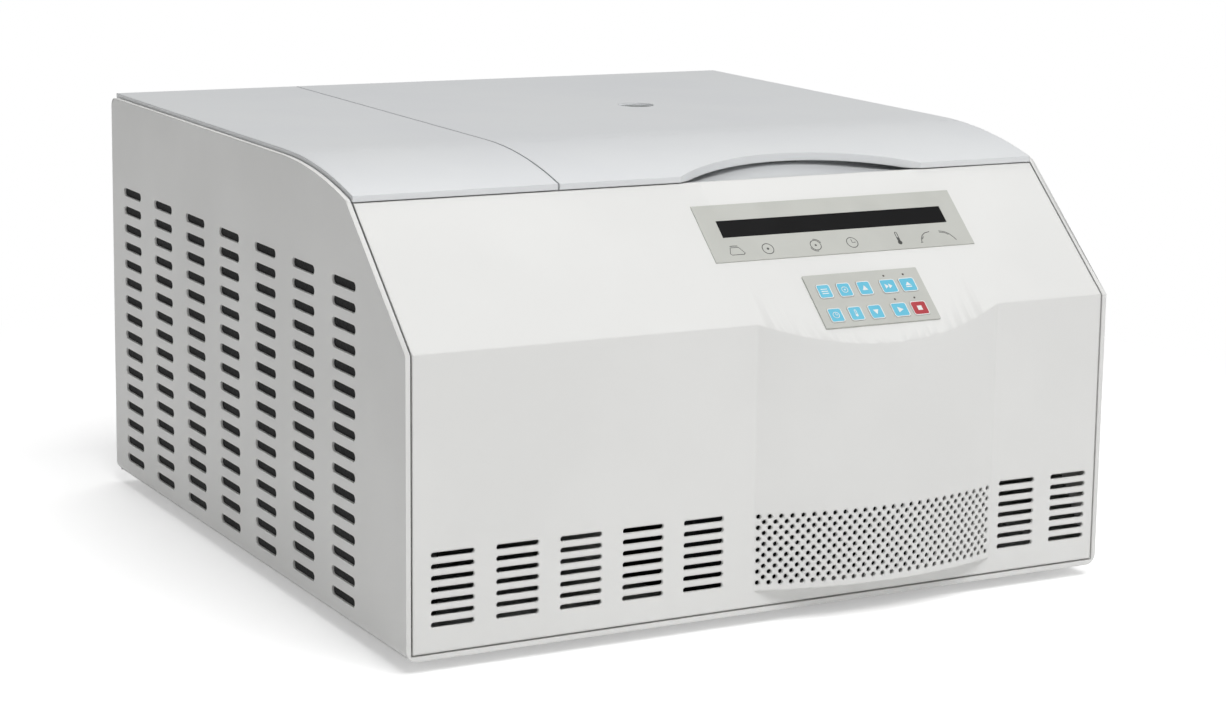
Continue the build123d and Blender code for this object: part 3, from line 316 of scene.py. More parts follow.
rubberLooks = {
    "blackRubber": {
        "colour": rgb(27, 27, 27), "chalk": rgb(44, 44, 43), "grain": 700.0, "bloom": 22.0,
        "rough": 0.6, "lift": 0.00010, "edge": 0.0012,
    },
    "greyRubber": {
        "colour": rgb(96, 97, 98), "chalk": rgb(112, 113, 113), "grain": 600.0, "bloom": 26.0,
        "rough": 0.58, "lift": 0.00009, "edge": 0.0015,
    },
}
finishes.update({name: rubberFinish(name, look) for name, look in rubberLooks.items()})


def foamFinish(name, colour, poreShadeColour):
    net = newFinish(name)
    # pores darker than the foam around them: painted shade in the pores; the same pattern also gives their
    # relief
    poreDepthAndShade = net.cells(520.0)
    tint = net.mix(poreDepthAndShade.ease(0.25, 0.6), poreShadeColour, colour)
    return closeFinish(net, tint, net.noise(30.0) * 0.1 + 0.85, poreDepthAndShade, 0.0004)


finishes["foam"] = foamFinish("foam", rgb(214, 202, 158), rgb(178, 164, 120))
# near-black foam for the sheet behind the side's vents: painted shade inside the vents
finishes["ventShadeFoam"] = foamFinish("ventShadeFoam", rgb(34, 34, 35), rgb(14, 14, 14))


def overlayFinish(name, look):
    # printed film: fine velvet emboss, light wear where fingers touch
    net = newFinish(name)
    emboss = net.noise(look["emboss"], 1.0)
    touch = net.noise(look["touch"], 2.0)
    tint = net.mix(touch.ease(0.4, 0.7), look["colour"], look["worn"])
    return closeFinish(net, tint, touch * 0.12 + look["rough"], emboss, look["lift"], look["edge"])


overlayLooks = {
    "bezelGrey": {
        "colour": rgb(199, 200, 194), "worn": rgb(195, 196, 190), "emboss": 1500.0, "touch": 26.0,
        "rough": 0.5, "lift": 0.00002, "edge": 0.0003,
    },
    "keyBlue": {
        "colour": rgb(104, 196, 224), "worn": rgb(112, 200, 226), "emboss": 1300.0, "touch": 60.0,
        "rough": 0.38, "lift": 0.00002, "edge": 0.0004,
    },
    "keyRed": {
        "colour": rgb(182, 58, 66), "worn": rgb(188, 66, 73), "emboss": 1300.0, "touch": 60.0,
        "rough": 0.38, "lift": 0.00002, "edge": 0.0004,
    },
    "markWhite": {
        "colour": rgb(240, 241, 240), "worn": rgb(232, 233, 232), "emboss": 1500.0, "touch": 90.0,
        "rough": 0.45, "lift": 0.00001, "edge": 0.0,
    },
    "markGrey": {
        "colour": rgb(70, 71, 69), "worn": rgb(80, 81, 78), "emboss": 1500.0, "touch": 90.0,
        "rough": 0.5, "lift": 0.00001, "edge": 0.0,
    },
    "lampDark": {
        "colour": rgb(74, 66, 62), "worn": rgb(86, 78, 72), "emboss": 900.0, "touch": 90.0,
        "rough": 0.25, "lift": 0.00002, "edge": 0.0005,
    },
}
finishes.update({name: overlayFinish(name, look) for name, look in overlayLooks.items()})


def windowFinish(name):
    # smoked window: gloss, a few specks of dust
    net = newFinish(name)
    dust = net.cells(420.0).ease(0.055, 0.03)
    haze = net.noise(40.0, 3.0)
    tint = net.mix(dust * 0.35, rgb(19, 19, 20), rgb(120, 120, 120))
    rough = haze * 0.1 + dust * 0.3 + 0.3
    return closeFinish(net, tint, rough, haze, 0.00001, 0.0003, {"Specular IOR Level": 0.18})


finishes["windowDark"] = windowFinish("windowDark")


def boardFinish(name):
    # lacquered circuit board: copper lanes under green lacquer
    net = newFinish(name)
    x, y, z = net.axes()
    lanes = (x * 900.0).math("SINE").ease(0.35, 0.55) * (z * 260.0).math("SINE").ease(-0.2, 0.1)
    tint = net.mix(lanes, rgb(18, 74, 48), rgb(42, 112, 66))
    return closeFinish(net, tint, net.noise(80.0) * 0.15 + 0.3, lanes, 0.00003)


finishes["boardGreen"] = boardFinish("boardGreen")


def glassFinish(name):
    net = newFinish(name)
    smear = net.noise(60.0, 3.0)
    fixed = {"Transmission Weight": 0.92, "IOR": 1.49, "Alpha": 1.0}
    rough = smear.ease(0.4, 0.8) * 0.12 + 0.04
    return closeFinish(net, rgb(214, 222, 220), rough, smear, 0.00001, 0.0003, fixed)


finishes["portClear"] = glassFinish("portClear")

slotFinish = {
    "case_paint": "casePaint", "panel_paint": "panelPaint", "cover_paint": "coverPaint",
    "grey_scoop": "scoopPaint", "steel_sheet": "steelSheet", "bowl_steel": "bowlSteel",
    "black_rubber": "blackRubber", "grey_rubber": "greyRubber", "foam": "foam",
    "armour_steel": "armourSteel", "copper": "copperTube", "motor_paint": "motorPaint",
    "plate_steel": "plateSteel", "rotor_alloy": "rotorAlloy", "bucket_alloy": "bucketAlloy",
    "fin_alloy": "shadedFinAlloy", "black_plastic": "blackPlastic", "board_green": "boardGreen",
    "bezel_grey": "bezelGrey", "window_dark": "windowDark", "key_blue": "keyBlue",
    "key_red": "keyRed", "lamp_dark": "lampDark", "lining_white": "liningWhite",
    "port_clear": "portClear",
}
for nodeName, node in nodes.items():
    for place in node.material_slots:
        slotName = place.material.name.split(".")[0]
        if slotName in slotFinish:
            place.material = finishes[slotFinish[slotName]]
        else:
            print("no finish for", nodeName, slotName)
print("finishes:", len(finishes), "nodes:", len(nodes))


def newTree(name, inputs):
    tree = bpy.data.node_groups.new(name, "GeometryNodeTree")
    tree.interface.new_socket("Geometry", in_out="INPUT", socket_type="NodeSocketGeometry")
    for label, kind in inputs.items():
        tree.interface.new_socket(label, in_out="INPUT", socket_type="NodeSocket" + kind)
    tree.interface.new_socket("Geometry", in_out="OUTPUT", socket_type="NodeSocketGeometry")
    net = Net(tree)
    net.inputs = net.add("NodeGroupInput")
    return net


def closeTree(net, geometry, material=None):
    # instances made real, finish set
    solid = net.add("GeometryNodeRealizeInstances", None, {"Geometry": geometry})["Geometry"]
    if material is not None:
        solid = net.add("GeometryNodeSetMaterial", None, {"Geometry": solid, "Material": material})[0]
    net.add("NodeGroupOutput", None, {"Geometry": solid})
    return net.tree


def addStep(piece, tree, values):
    # one modifier with its named inputs set by their identifiers
    step = piece.modifiers.new(tree.name, "NODES")
    step.node_group = tree
    for item in tree.interface.items_tree:
        if item.in_out == "INPUT" and item.name in values:
            step[item.identifier] = values[item.name]


def keepResult(piece, name, body, smoothAngle=None):
    # plain mesh from the evaluated piece, at the origin
    bpy.context.view_layer.update()
    evaluated = piece.evaluated_get(bpy.context.evaluated_depsgraph_get())
    mesh = bpy.data.meshes.new_from_object(evaluated)
    result = bpy.data.objects.new(name, mesh)
    bpy.context.scene.collection.objects.link(result)
    bpy.data.objects.remove(piece)
    if smoothAngle is not None:
        mesh.shade_smooth()
        mesh.set_sharp_from_angle(angle=math.radians(smoothAngle))
    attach(result, body)
    return result


def meshPiece(name, vertices, edges=(), faces=()):
    mesh = bpy.data.meshes.new(name)
    mesh.from_pydata([tuple(v) for v in vertices], edges, faces)
    piece = bpy.data.objects.new(name, mesh)
    bpy.context.scene.collection.objects.link(piece)
    return piece


def mergedCopy(nodeName):
    # the solid's loose triangles joined into one skin
    mesh = nodes[nodeName].data.copy()
    work = bmesh.new()
    work.from_mesh(mesh)
    bmesh.ops.remove_doubles(work, verts=work.verts, dist=0.004 * mm)
    work.to_mesh(mesh)
    work.free()
    piece = bpy.data.objects.new(nodeName + "Copy", mesh)
    bpy.context.scene.collection.objects.link(piece)
    return piece


def turnOf(xAxis, yAxis):
    xAxis = Vector(xAxis).normalized()
    yAxis = Vector(yAxis).normalized()
    return Matrix((xAxis, yAxis, xAxis.cross(yAxis))).transposed().to_euler()


def slotFieldTree():
    # rows and columns of round-ended holes cut through a skin
    inputs = {
        "Length": "Float", "Width": "Float", "Depth": "Float", "Columns": "Int", "Rows": "Int",
        "Column Pitch": "Float", "Row Pitch": "Float", "Sides": "Int", "Place": "Vector",
        "Turn": "Vector", "Material": "Material",
    }
    net = newTree("roundEndedHoles", inputs)
    given = net.inputs
    half = given["Width"] / 2
    drum = net.add("GeometryNodeMeshCylinder", {"fill_type": "NGON"}, {
        "Vertices": given["Sides"], "Radius": half, "Depth": given["Depth"],
    })["Mesh"]
    shift = given["Length"] / 2 - half
    ends = [
        net.add("GeometryNodeTransform", None, {
            "Geometry": drum, "Translation": net.vector(shift * sign, 0.0, 0.0),
        })[0]
        for sign in (1, -1)
    ]
    both = net.add("GeometryNodeJoinGeometry", None, {"Geometry": ends})[0]
    cutter = net.add("GeometryNodeConvexHull", None, {"Geometry": both})[0]
    grid = net.add("GeometryNodeMeshGrid", None, {
        "Size X": given["Column Pitch"] * (given["Columns"] - 1),
        "Size Y": given["Row Pitch"] * (given["Rows"] - 1),
        "Vertices X": given["Columns"], "Vertices Y": given["Rows"],
    })["Mesh"]
    field = net.add("GeometryNodeInstanceOnPoints", None, {"Points": grid, "Instance": cutter})[0]
    placed = net.add("GeometryNodeTransform", None, {
        "Geometry": field, "Translation": given["Place"], "Rotation": given["Turn"],
    })[0]
    solid = net.add("GeometryNodeRealizeInstances", None, {"Geometry": placed})[0]
    cut = net.add("GeometryNodeMeshBoolean", {"operation": "DIFFERENCE", "solver": "MANIFOLD"}, {
        "Mesh 1": given["Geometry"], "Mesh 2": solid,
    })["Mesh"]
    return closeTree(net, cut, given["Material"])


holeTree = slotFieldTree()
caseFrame = {"frontY": -309.945 * mm, "baseZ": 10 * mm, "half": 320 * mm, "sheet": 2 * mm}
lean = {"run": 5.0, "rise": 231.0}
leanDirection = Vector((0, lean["run"], lean["rise"])).normalized()
frontTurn = turnOf((1, 0, 0), leanDirection)


def cutField(piece, field, finish):
    values = dict(field)
    values["Material"] = finish
    addStep(piece, holeTree, values)


def frontPlace(x, rise):
    # a point on the leaning lower front, x from the middle, rise above the case bottom
    back = rise * mm * lean["run"] / lean["rise"]
    return (x * mm, caseFrame["frontY"] + back, caseFrame["baseZ"] + rise * mm)


sideField = {"columns": 7, "rows": 16, "columnPitch": 78.5, "rowPitch": 16.4, "firstY": 116.0, "firstZ": 20.4}
sideMiddleY = sideField["firstY"] + sideField["columnPitch"] * (sideField["columns"] - 1) / 2
sideMiddleZ = sideField["firstZ"] + sideField["rowPitch"] * (sideField["rows"] - 1) / 2
sideVents = {
    "Length": 44.5 * mm, "Width": 7.5 * mm, "Depth": 12 * mm, "Sides": 20,
    "Columns": sideField["columns"], "Rows": sideField["rows"],
    "Column Pitch": sideField["columnPitch"] * mm, "Row Pitch": sideField["rowPitch"] * mm,
    "Place": (
        -caseFrame["half"], caseFrame["frontY"] + sideMiddleY * mm, caseFrame["baseZ"] + sideMiddleZ * mm,
    ),
    "Turn": turnOf((0, 1, 0), (0, 0, 1)),
}
casePiece = mergedCopy("outer_case")
cutField(casePiece, sideVents, finishes["casePaint"])
outerCase = keepResult(casePiece, "caseShell", "base", 30)
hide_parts("outer_case")
print("case with vents:", len(outerCase.data.polygons))

ventShadeLook = {
    "low": (-222.0, 20.0), "high": (305.0, 292.0), "thickness": 2.0, "gap": 0.05, "soft": 0.6,
}


def ventShadeSheet(look):
    # near-black sheet held against the inside of the side's vents: painted shade that keeps the vents dark
    work = bmesh.new()
    bmesh.ops.create_cube(work, size=1.0)
    inner = caseFrame["half"] - caseFrame["sheet"]
    (lowY, lowZ), (highY, highZ) = look["low"], look["high"]
    size = Vector((look["thickness"], highY - lowY, highZ - lowZ)) * mm
    middleX = -inner + size.x / 2 + look["gap"] * mm
    middle = Vector((middleX, (lowY + highY) / 2 * mm, (lowZ + highZ) / 2 * mm))
    bmesh.ops.scale(work, vec=size, verts=work.verts)
    bmesh.ops.translate(work, vec=middle, verts=work.verts)
    bmesh.ops.bevel(work, geom=work.edges[:], offset=look["soft"] * mm, segments=2, affect="EDGES")
    mesh = bpy.data.meshes.new("ventShadeSheet")
    work.to_mesh(mesh)
    work.free()
    mesh.materials.append(finishes["ventShadeFoam"])
    shadeSheet = bpy.data.objects.new("ventShadeSheet", mesh)
    bpy.context.scene.collection.objects.link(shadeSheet)
    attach(shadeSheet, "base")


ventShadeSheet(ventShadeLook)
frontVents = {
    "Length": 36 * mm, "Width": 4.2 * mm, "Depth": 14 * mm, "Rows": 7, "Row Pitch": 8.9 * mm,
    "Sides": 14, "Turn": frontTurn,
}
ventRise = 53.4
leftX, rightX = -173.8, 261.2
leftVents = dict(frontVents, Columns=5, Place=frontPlace(leftX, ventRise))
leftVents["Column Pitch"] = 54 * mm
rightVents = dict(frontVents, Columns=2, Place=frontPlace(rightX, ventRise))
rightVents["Column Pitch"] = 53 * mm
bow = {"x": 94.5 * mm, "width": 228 * mm, "depth": 20.5 * mm, "wall": 2.5 * mm, "strip": 4 * mm}
grille = {
    "Length": 4.0 * mm, "Width": 4.0 * mm, "Depth": 44 * mm, "Row Pitch": 8.9 * mm,
    "Column Pitch": 8.8 * mm, "Sides": 12, "Turn": frontTurn,
}
grilleX, grilleRise = 93.6, 51.5
mainHoles = dict(grille, Columns=26, Rows=7, Place=frontPlace(grilleX, grilleRise))
betweenHoles = dict(grille, Columns=25, Rows=6, Place=frontPlace(grilleX, grilleRise))


def smoothBow(piece):
    # more strips across the bow, each point brought onto the true curve
    work = bmesh.new()
    work.from_mesh(piece.data)
    left = bow["x"] - bow["width"] / 2
    for number in range(1, round(bow["width"] / bow["strip"])):
        everything = work.verts[:] + work.edges[:] + work.faces[:]
        bmesh.ops.bisect_plane(
            work, geom=everything, dist=0.001 * mm,
            plane_co=(left + number * bow["strip"], 0, 0), plane_no=(1, 0, 0),
        )
    radius = (bow["width"] ** 2 / 4 + bow["depth"] ** 2) / (2 * bow["depth"])
    inward = Vector((1, 0, 0)).cross(leanDirection) * -1
    origin = Vector((bow["x"], caseFrame["frontY"], caseFrame["baseZ"]))
    for vertex in work.verts:
        offset = vertex.co - origin
        across, deep = offset.x, offset.dot(inward) - (radius - bow["depth"])
        reach = math.hypot(across, deep)
        for target in (radius, radius - bow["wall"]):
            if deep < 0 and abs(reach - target) < 0.35 * mm and abs(across) < bow["width"] / 2:
                scale = target / reach - 1
                vertex.co += Vector((across * scale, 0, 0)) + inward * deep * scale
    work.to_mesh(piece.data)
    work.free()


def trueBowNormals(mesh):
    # the bow shades as one even curve, whatever the cuts did to its faces
    radius = (bow["width"] ** 2 / 4 + bow["depth"] ** 2) / (2 * bow["depth"])
    inward = Vector((1, 0, 0)).cross(leanDirection) * -1
    origin = Vector((bow["x"], caseFrame["frontY"], caseFrame["baseZ"]))
    normals = [corner.vector.copy() for corner in mesh.corner_normals]
    for face in mesh.polygons:
        outward = []
        for index in face.vertices:
            offset = mesh.vertices[index].co - origin
            across, deep = offset.x, offset.dot(inward) - (radius - bow["depth"])
            if deep < 0 and abs(math.hypot(across, deep) - radius) < 0.02 * mm:
                outward.append((Vector((across, 0, 0)) + inward * deep).normalized())
        if len(outward) == len(face.vertices) and face.normal.dot(outward[0]) > 0.97:
            for loop, normal in zip(face.loop_indices, outward):
                normals[loop] = normal
    mesh.normals_split_custom_set(normals)


panelPiece = mergedCopy("front_panel")
smoothBow(panelPiece)
for field in (leftVents, rightVents, mainHoles, betweenHoles):
    cutField(panelPiece, field, finishes["panelPaint"])
frontPanel = keepResult(panelPiece, "frontMoulding", "base", 24)
trueBowNormals(frontPanel.data)
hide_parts("front_panel")
print("front with vents and perforations:", len(frontPanel.data.polygons))

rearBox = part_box("rear_panel")
rearVents = {
    "Length": 60 * mm, "Width": 8 * mm, "Depth": 12 * mm, "Columns": 2, "Rows": 9,
    "Column Pitch": 76 * mm, "Row Pitch": 18 * mm, "Sides": 18,
    "Place": (-225 * mm, rearBox[1].y, caseFrame["baseZ"] + 150 * mm),
    "Turn": turnOf((1, 0, 0), (0, 0, 1)),
}
rearPiece = mergedCopy("rear_panel")
cutField(rearPiece, rearVents, finishes["steelSheet"])
rearPanel = keepResult(rearPiece, "rearSheet", "base", 30)
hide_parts("rear_panel")
print("rear with vents:", len(rearPanel.data.polygons))


def roundedPlate(net, width, height, corner, thickness):
    # flat plate with round corners, standing on the plane
    drum = net.add("GeometryNodeMeshCylinder", {"fill_type": "NGON"}, {
        "Vertices": 20, "Radius": corner, "Depth": thickness,
    })["Mesh"]
    grid = net.add("GeometryNodeMeshGrid", None, {
        "Size X": width - corner * 2, "Size Y": height - corner * 2, "Vertices X": 2, "Vertices Y": 2,
    })["Mesh"]
    posts = net.add("GeometryNodeInstanceOnPoints", None, {"Points": grid, "Instance": drum})[0]
    posts = net.add("GeometryNodeRealizeInstances", None, {"Geometry": posts})[0]
    hull = net.add("GeometryNodeConvexHull", None, {"Geometry": posts})[0]
    return net.add("GeometryNodeTransform", None, {
        "Geometry": hull, "Translation": net.vector(0.0, 0.0, thickness / 2),
    })[0]


def keyCapTree():
    # key face on a white border
    inputs = {
        "Width": "Float", "Height": "Float", "Corner": "Float", "Border": "Float", "Thickness": "Float",
        "Face Lift": "Float", "Place": "Vector", "Turn": "Vector", "Border Material": "Material",
        "Face Material": "Material",
    }
    net = newTree("keyCap", inputs)
    given = net.inputs
    rim = roundedPlate(net, given["Width"], given["Height"], given["Corner"], given["Thickness"])
    rim = net.add("GeometryNodeSetMaterial", None, {"Geometry": rim, "Material": given["Border Material"]})[0]
    slim = given["Border"] * 2
    face = roundedPlate(
        net, given["Width"] - slim, given["Height"] - slim, given["Corner"] - given["Border"],
        given["Thickness"] + given["Face Lift"],
    )
    face = net.add("GeometryNodeSetMaterial", None, {"Geometry": face, "Material": given["Face Material"]})[0]
    both = net.add("GeometryNodeJoinGeometry", None, {"Geometry": [face, rim]})[0]
    placed = net.add("GeometryNodeTransform", None, {
        "Geometry": both, "Translation": given["Place"], "Rotation": given["Turn"],
    })[0]
    return closeTree(net, placed)


desk = {"kneeY": -304.945 * mm, "kneeZ": 241 * mm, "run": 108.5, "rise": 98.7}
slopeUp = Vector((0, desk["run"], desk["rise"])).normalized()
slopeOut = Vector((1, 0, 0)).cross(slopeUp)
deskTurn = turnOf((1, 0, 0), slopeUp)
deskMatrix = deskTurn.to_matrix().to_4x4()


def deskPlace(x, rise, lift=0.0):
    # a point over the slanted desk, in millimetres from its knee
    return Vector((x * mm, desk["kneeY"], desk["kneeZ"])) + slopeUp * rise * mm + slopeOut * lift * mm


keyTree = keyCapTree()
keySettings = {
    "height": 13.6, "corner": 2.2, "border": 0.75, "thickness": 1.15, "faceLift": 0.05, "lift": 0.7,
}
keyColumns = ((52.0, 12.8), (70.9, 12.8), (90.0, 12.8), (113.0, 14.8), (131.8, 14.8))
keyRows = {"top": 25.4, "bottom": 1.7}
keyPlaces = {}
for row, rise in keyRows.items():
    for column, (x, width) in enumerate(keyColumns, 1):
        nodeName = f"key_{row}_{column}"
        face = "keyRed" if nodeName == "key_bottom_5" else "keyBlue"
        blank = meshPiece(nodeName + "Start", [(0, 0, 0)])
        addStep(blank, keyTree, {
            "Width": width * mm, "Height": keySettings["height"] * mm, "Corner": keySettings["corner"] * mm,
            "Border": keySettings["border"] * mm, "Thickness": keySettings["thickness"] * mm,
            "Face Lift": keySettings["faceLift"] * mm, "Place": deskPlace(x, rise, keySettings["lift"]),
            "Turn": deskTurn, "Border Material": finishes["markWhite"], "Face Material": finishes[face],
        })
        cap = keepResult(blank, f"keyCap_{row}_{column}", bodyOf[nodeName], 30)
        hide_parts(nodeName)
        keyPlaces[(row, column)] = (x, rise, bodyOf[nodeName])
print("keys:", len(keyPlaces))


def keypadFilmTree():
    # the keypad's plate with a round-cornered pocket for each key and a hole for each lamp
    inputs = {
        "Width": "Float", "Height": "Float", "Corner": "Float", "Thickness": "Float", "Centre": "Vector",
        "Pocket Height": "Float", "Narrow Pocket": "Float", "Wide Pocket": "Float",
        "Pocket Corner": "Float", "Lamp Radius": "Float", "Place": "Vector", "Turn": "Vector",
        "Material": "Material",
    }
    net = newTree("keypadFilm", inputs)
    given = net.inputs
    thick = given["Thickness"]
    plate = roundedPlate(net, given["Width"], given["Height"], given["Corner"], thick)
    plate = net.add("GeometryNodeTransform", None, {"Geometry": plate, "Translation": given["Centre"]})[0]
    kind = net.add("GeometryNodeInputNamedAttribute", {"data_type": "INT"}, {"Name": "kind"})[0]
    lampHole = net.add("GeometryNodeMeshCylinder", {"fill_type": "NGON"}, {
        "Vertices": 14, "Radius": given["Lamp Radius"], "Depth": thick * 4,
    })["Mesh"]
    cutters = []
    for number, width in enumerate((given["Narrow Pocket"], given["Wide Pocket"], None)):
        if width:
            cutter = roundedPlate(net, width, given["Pocket Height"], given["Pocket Corner"], thick * 4)
            cutter = net.add("GeometryNodeTransform", None, {
                "Geometry": cutter, "Translation": net.vector(0.0, 0.0, thick * -2),
            })[0]
        else:
            cutter = lampHole
        chosen = kind.math("COMPARE", number, 0.1)
        spots = net.add("GeometryNodeInstanceOnPoints", None, {
            "Points": given["Geometry"], "Selection": chosen, "Instance": cutter,
        })[0]
        cutters.append(net.add("GeometryNodeRealizeInstances", None, {"Geometry": spots})[0])
    film = net.add("GeometryNodeMeshBoolean", {"operation": "DIFFERENCE", "solver": "MANIFOLD"}, {
        "Mesh 1": plate, "Mesh 2": cutters,
    })["Mesh"]
    placed = net.add("GeometryNodeTransform", None, {
        "Geometry": film, "Translation": given["Place"], "Rotation": given["Turn"],
    })[0]
    return closeTree(net, placed, given["Material"])


keypadLook = {
    "centre": (92.6, 16.0), "width": 109.0, "height": 52.2, "corner": 0.8, "thickness": 1.4, "gap": 0.3,
    "lampRadius": 0.95, "lampAbove": 10.7, "lampLow": 0.1, "firstWide": 4,
}
pocketPoints, pocketKinds = [], []
for rise in keyRows.values():
    for column, (x, width) in enumerate(keyColumns, 1):
        pocketPoints.append((x * mm, rise * mm, 0))
        wide = column >= keypadLook["firstWide"]
        pocketKinds.append(1 if wide else 0)
        if wide:
            pocketPoints.append((x * mm, (rise + keypadLook["lampAbove"]) * mm, 0))
            pocketKinds.append(2)
filmStart = meshPiece("keypadPoints", pocketPoints)
filmStart.data.attributes.new("kind", "INT", "POINT").data.foreach_set("value", pocketKinds)
gapBoth = 2 * keypadLook["gap"]
addStep(filmStart, keypadFilmTree(), {
    "Width": keypadLook["width"] * mm, "Height": keypadLook["height"] * mm,
    "Corner": keypadLook["corner"] * mm, "Thickness": keypadLook["thickness"] * mm,
    "Centre": (keypadLook["centre"][0] * mm, keypadLook["centre"][1] * mm, 0),
    "Pocket Height": (keySettings["height"] + gapBoth) * mm,
    "Narrow Pocket": (keyColumns[0][1] + gapBoth) * mm, "Wide Pocket": (keyColumns[4][1] + gapBoth) * mm,
    "Pocket Corner": (keySettings["corner"] + keypadLook["gap"]) * mm,
    "Lamp Radius": keypadLook["lampRadius"] * mm, "Place": deskPlace(0, 0), "Turn": deskTurn,
    "Material": finishes["bezelGrey"],
})
keypadFilm = keepResult(filmStart, "keypadFilm", "base", 30)
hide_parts("keypad_plate")
print("keypad film:", len(keypadFilm.data.polygons))


def inkLineTree():
    # thin raised print that follows drawn lines
    net = newTree("inkLine", {"Line Width": "Float", "Line Height": "Float", "Material": "Material"})
    given = net.inputs
    path = net.add("GeometryNodeMeshToCurve", None, {"Mesh": given["Geometry"]})[0]
    path = net.add("GeometryNodeSetCurveNormal", {"mode": "Z_UP"}, {"Curve": path})[0]
    profile = net.add("GeometryNodeCurvePrimitiveQuadrilateral", None, {
        "Width": given["Line Width"], "Height": given["Line Height"],
    })[0]
    ribbon = net.add("GeometryNodeCurveToMesh", None, {
        "Curve": path, "Profile Curve": profile, "Fill Caps": True,
    })[0]
    return closeTree(net, ribbon, given["Material"])


inkTree = inkLineTree()


def arc(x, y, radius, start, end, steps):
    return [
        (x + radius * math.cos(math.radians(start + (end - start) * i / steps)),
         y + radius * math.sin(math.radians(start + (end - start) * i / steps)))
        for i in range(steps + 1)
    ]


def drawMarks(name, lines, shapes, place, width, body, finish):
    # lines become thin ribbons, filled shapes thin plates, all laid on the desk
    vertices, edges = [], []
    for line in lines:
        first = len(vertices)
        closed = line[0] == line[-1]
        points = line[:-1] if closed else line
        vertices += [(x * mm, y * mm, 0) for x, y in points]
        edges += [(first + i, first + i + 1) for i in range(len(points) - 1)]
        if closed:
            edges.append((first + len(points) - 1, first))
    parts = []
    if vertices:
        ribbon = meshPiece(name + "Lines", vertices, edges)
        addStep(ribbon, inkTree, {"Line Width": width * mm, "Line Height": 0.08 * mm, "Material": finish})
        bpy.context.view_layer.update()
        evaluated = ribbon.evaluated_get(bpy.context.evaluated_depsgraph_get())
        parts.append(bpy.data.meshes.new_from_object(evaluated))
        bpy.data.objects.remove(ribbon)
    work = bmesh.new()
    for mesh in parts:
        work.from_mesh(mesh)
    for shape in shapes:
        corners = [work.verts.new((x * mm, y * mm, -0.04 * mm)) for x, y in shape]
        made = bmesh.ops.extrude_face_region(work, geom=[work.faces.new(corners)])
        for part in made["geom"]:
            if isinstance(part, bmesh.types.BMVert):
                part.co.z = 0.04 * mm
    bmesh.ops.recalc_face_normals(work, faces=work.faces)
    bmesh.ops.transform(work, matrix=Matrix.Translation(place) @ deskMatrix, verts=work.verts)
    marks = bpy.data.meshes.new(name)
    work.to_mesh(marks)
    work.free()
    marks.materials.clear()
    marks.materials.append(finish)
    piece = bpy.data.objects.new(name, marks)
    bpy.context.scene.collection.objects.link(piece)
    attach(piece, body)
    return piece


def disc(x, y, radius, steps=14):
    return arc(x, y, radius, 0, 360, steps)[:-1]


def circle(x, y, radius, steps=28):
    points = disc(x, y, radius, steps)
    return points + [points[0]]


# signs under the display: lid, speed, pull, time, cold, run up, run down
displaySigns = {
    "lidSign": (-9.0, [
        [(-5, -3.4), (5, -3.4), (6.2, -2.2), (2.6, 3.2), (-4.2, 3.2), (-6.2, -2.2), (-5, -3.4)],
        [(-4.2, 4.4), (-1.4, 4.6), (2.4, 4.4)],
    ], []),
    "speedSign": (20.0, [circle(0, 0, 4.6)], [disc(0, 0, 1.0)]),
    "pullSign": (65.0, [circle(0, 0, 4.4), arc(0, 0, 5.5, 20, 95, 8), arc(0, 0, 5.5, 200, 275, 8)],
                 [disc(0, 0, 0.9)]),
    "timeSign": (100.0, [circle(0, 0, 4.6), [(0, 3.2), (0, 0), (3.0, 0)]], []),
    "coldSign": (145.0, [[(-0.9, 5.6), (-0.9, -1.6)], [(0.9, 5.6), (0.9, -1.6)], arc(0, 5.6, 0.9, 0, 180, 6)],
                 [disc(0, -3.2, 1.9), [(-0.5, -2.6), (0.5, -2.6), (0.5, 1.6), (-0.5, 1.6)]]),
    "riseSign": (172.0, [[(-5.5, -4.6), (-4.6, -1.4), (-2.6, 1.6), (0.6, 3.8), (5.4, 4.8)],
                         [(-6.6, -4.6), (-4.4, -4.6)], [(-3.9, -1.9), (-1.9, 0.7)]], []),
    "fallSign": (193.0, [[(-5.4, 4.8), (-0.6, 3.8), (2.6, 1.6), (4.8, -1.4), (6.6, -4.6)],
                         [(-5.4, 3.6), (-0.9, 2.7), (2.0, 0.8)]], []),
}
signLook = {"rise": 72.0, "lift": 0.8, "scale": 1.1, "line": 0.62, "keyLine": 0.55}


def scaled(paths, scale):
    return [[(x * scale, y * scale) for x, y in path] for path in paths]


for name, (x, lines, shapes) in displaySigns.items():
    drawMarks(
        name, scaled(lines, signLook["scale"]), scaled(shapes, signLook["scale"]),
        deskPlace(x, signLook["rise"], signLook["lift"]), signLook["line"], "base",
        finishes["markGrey"],
    )

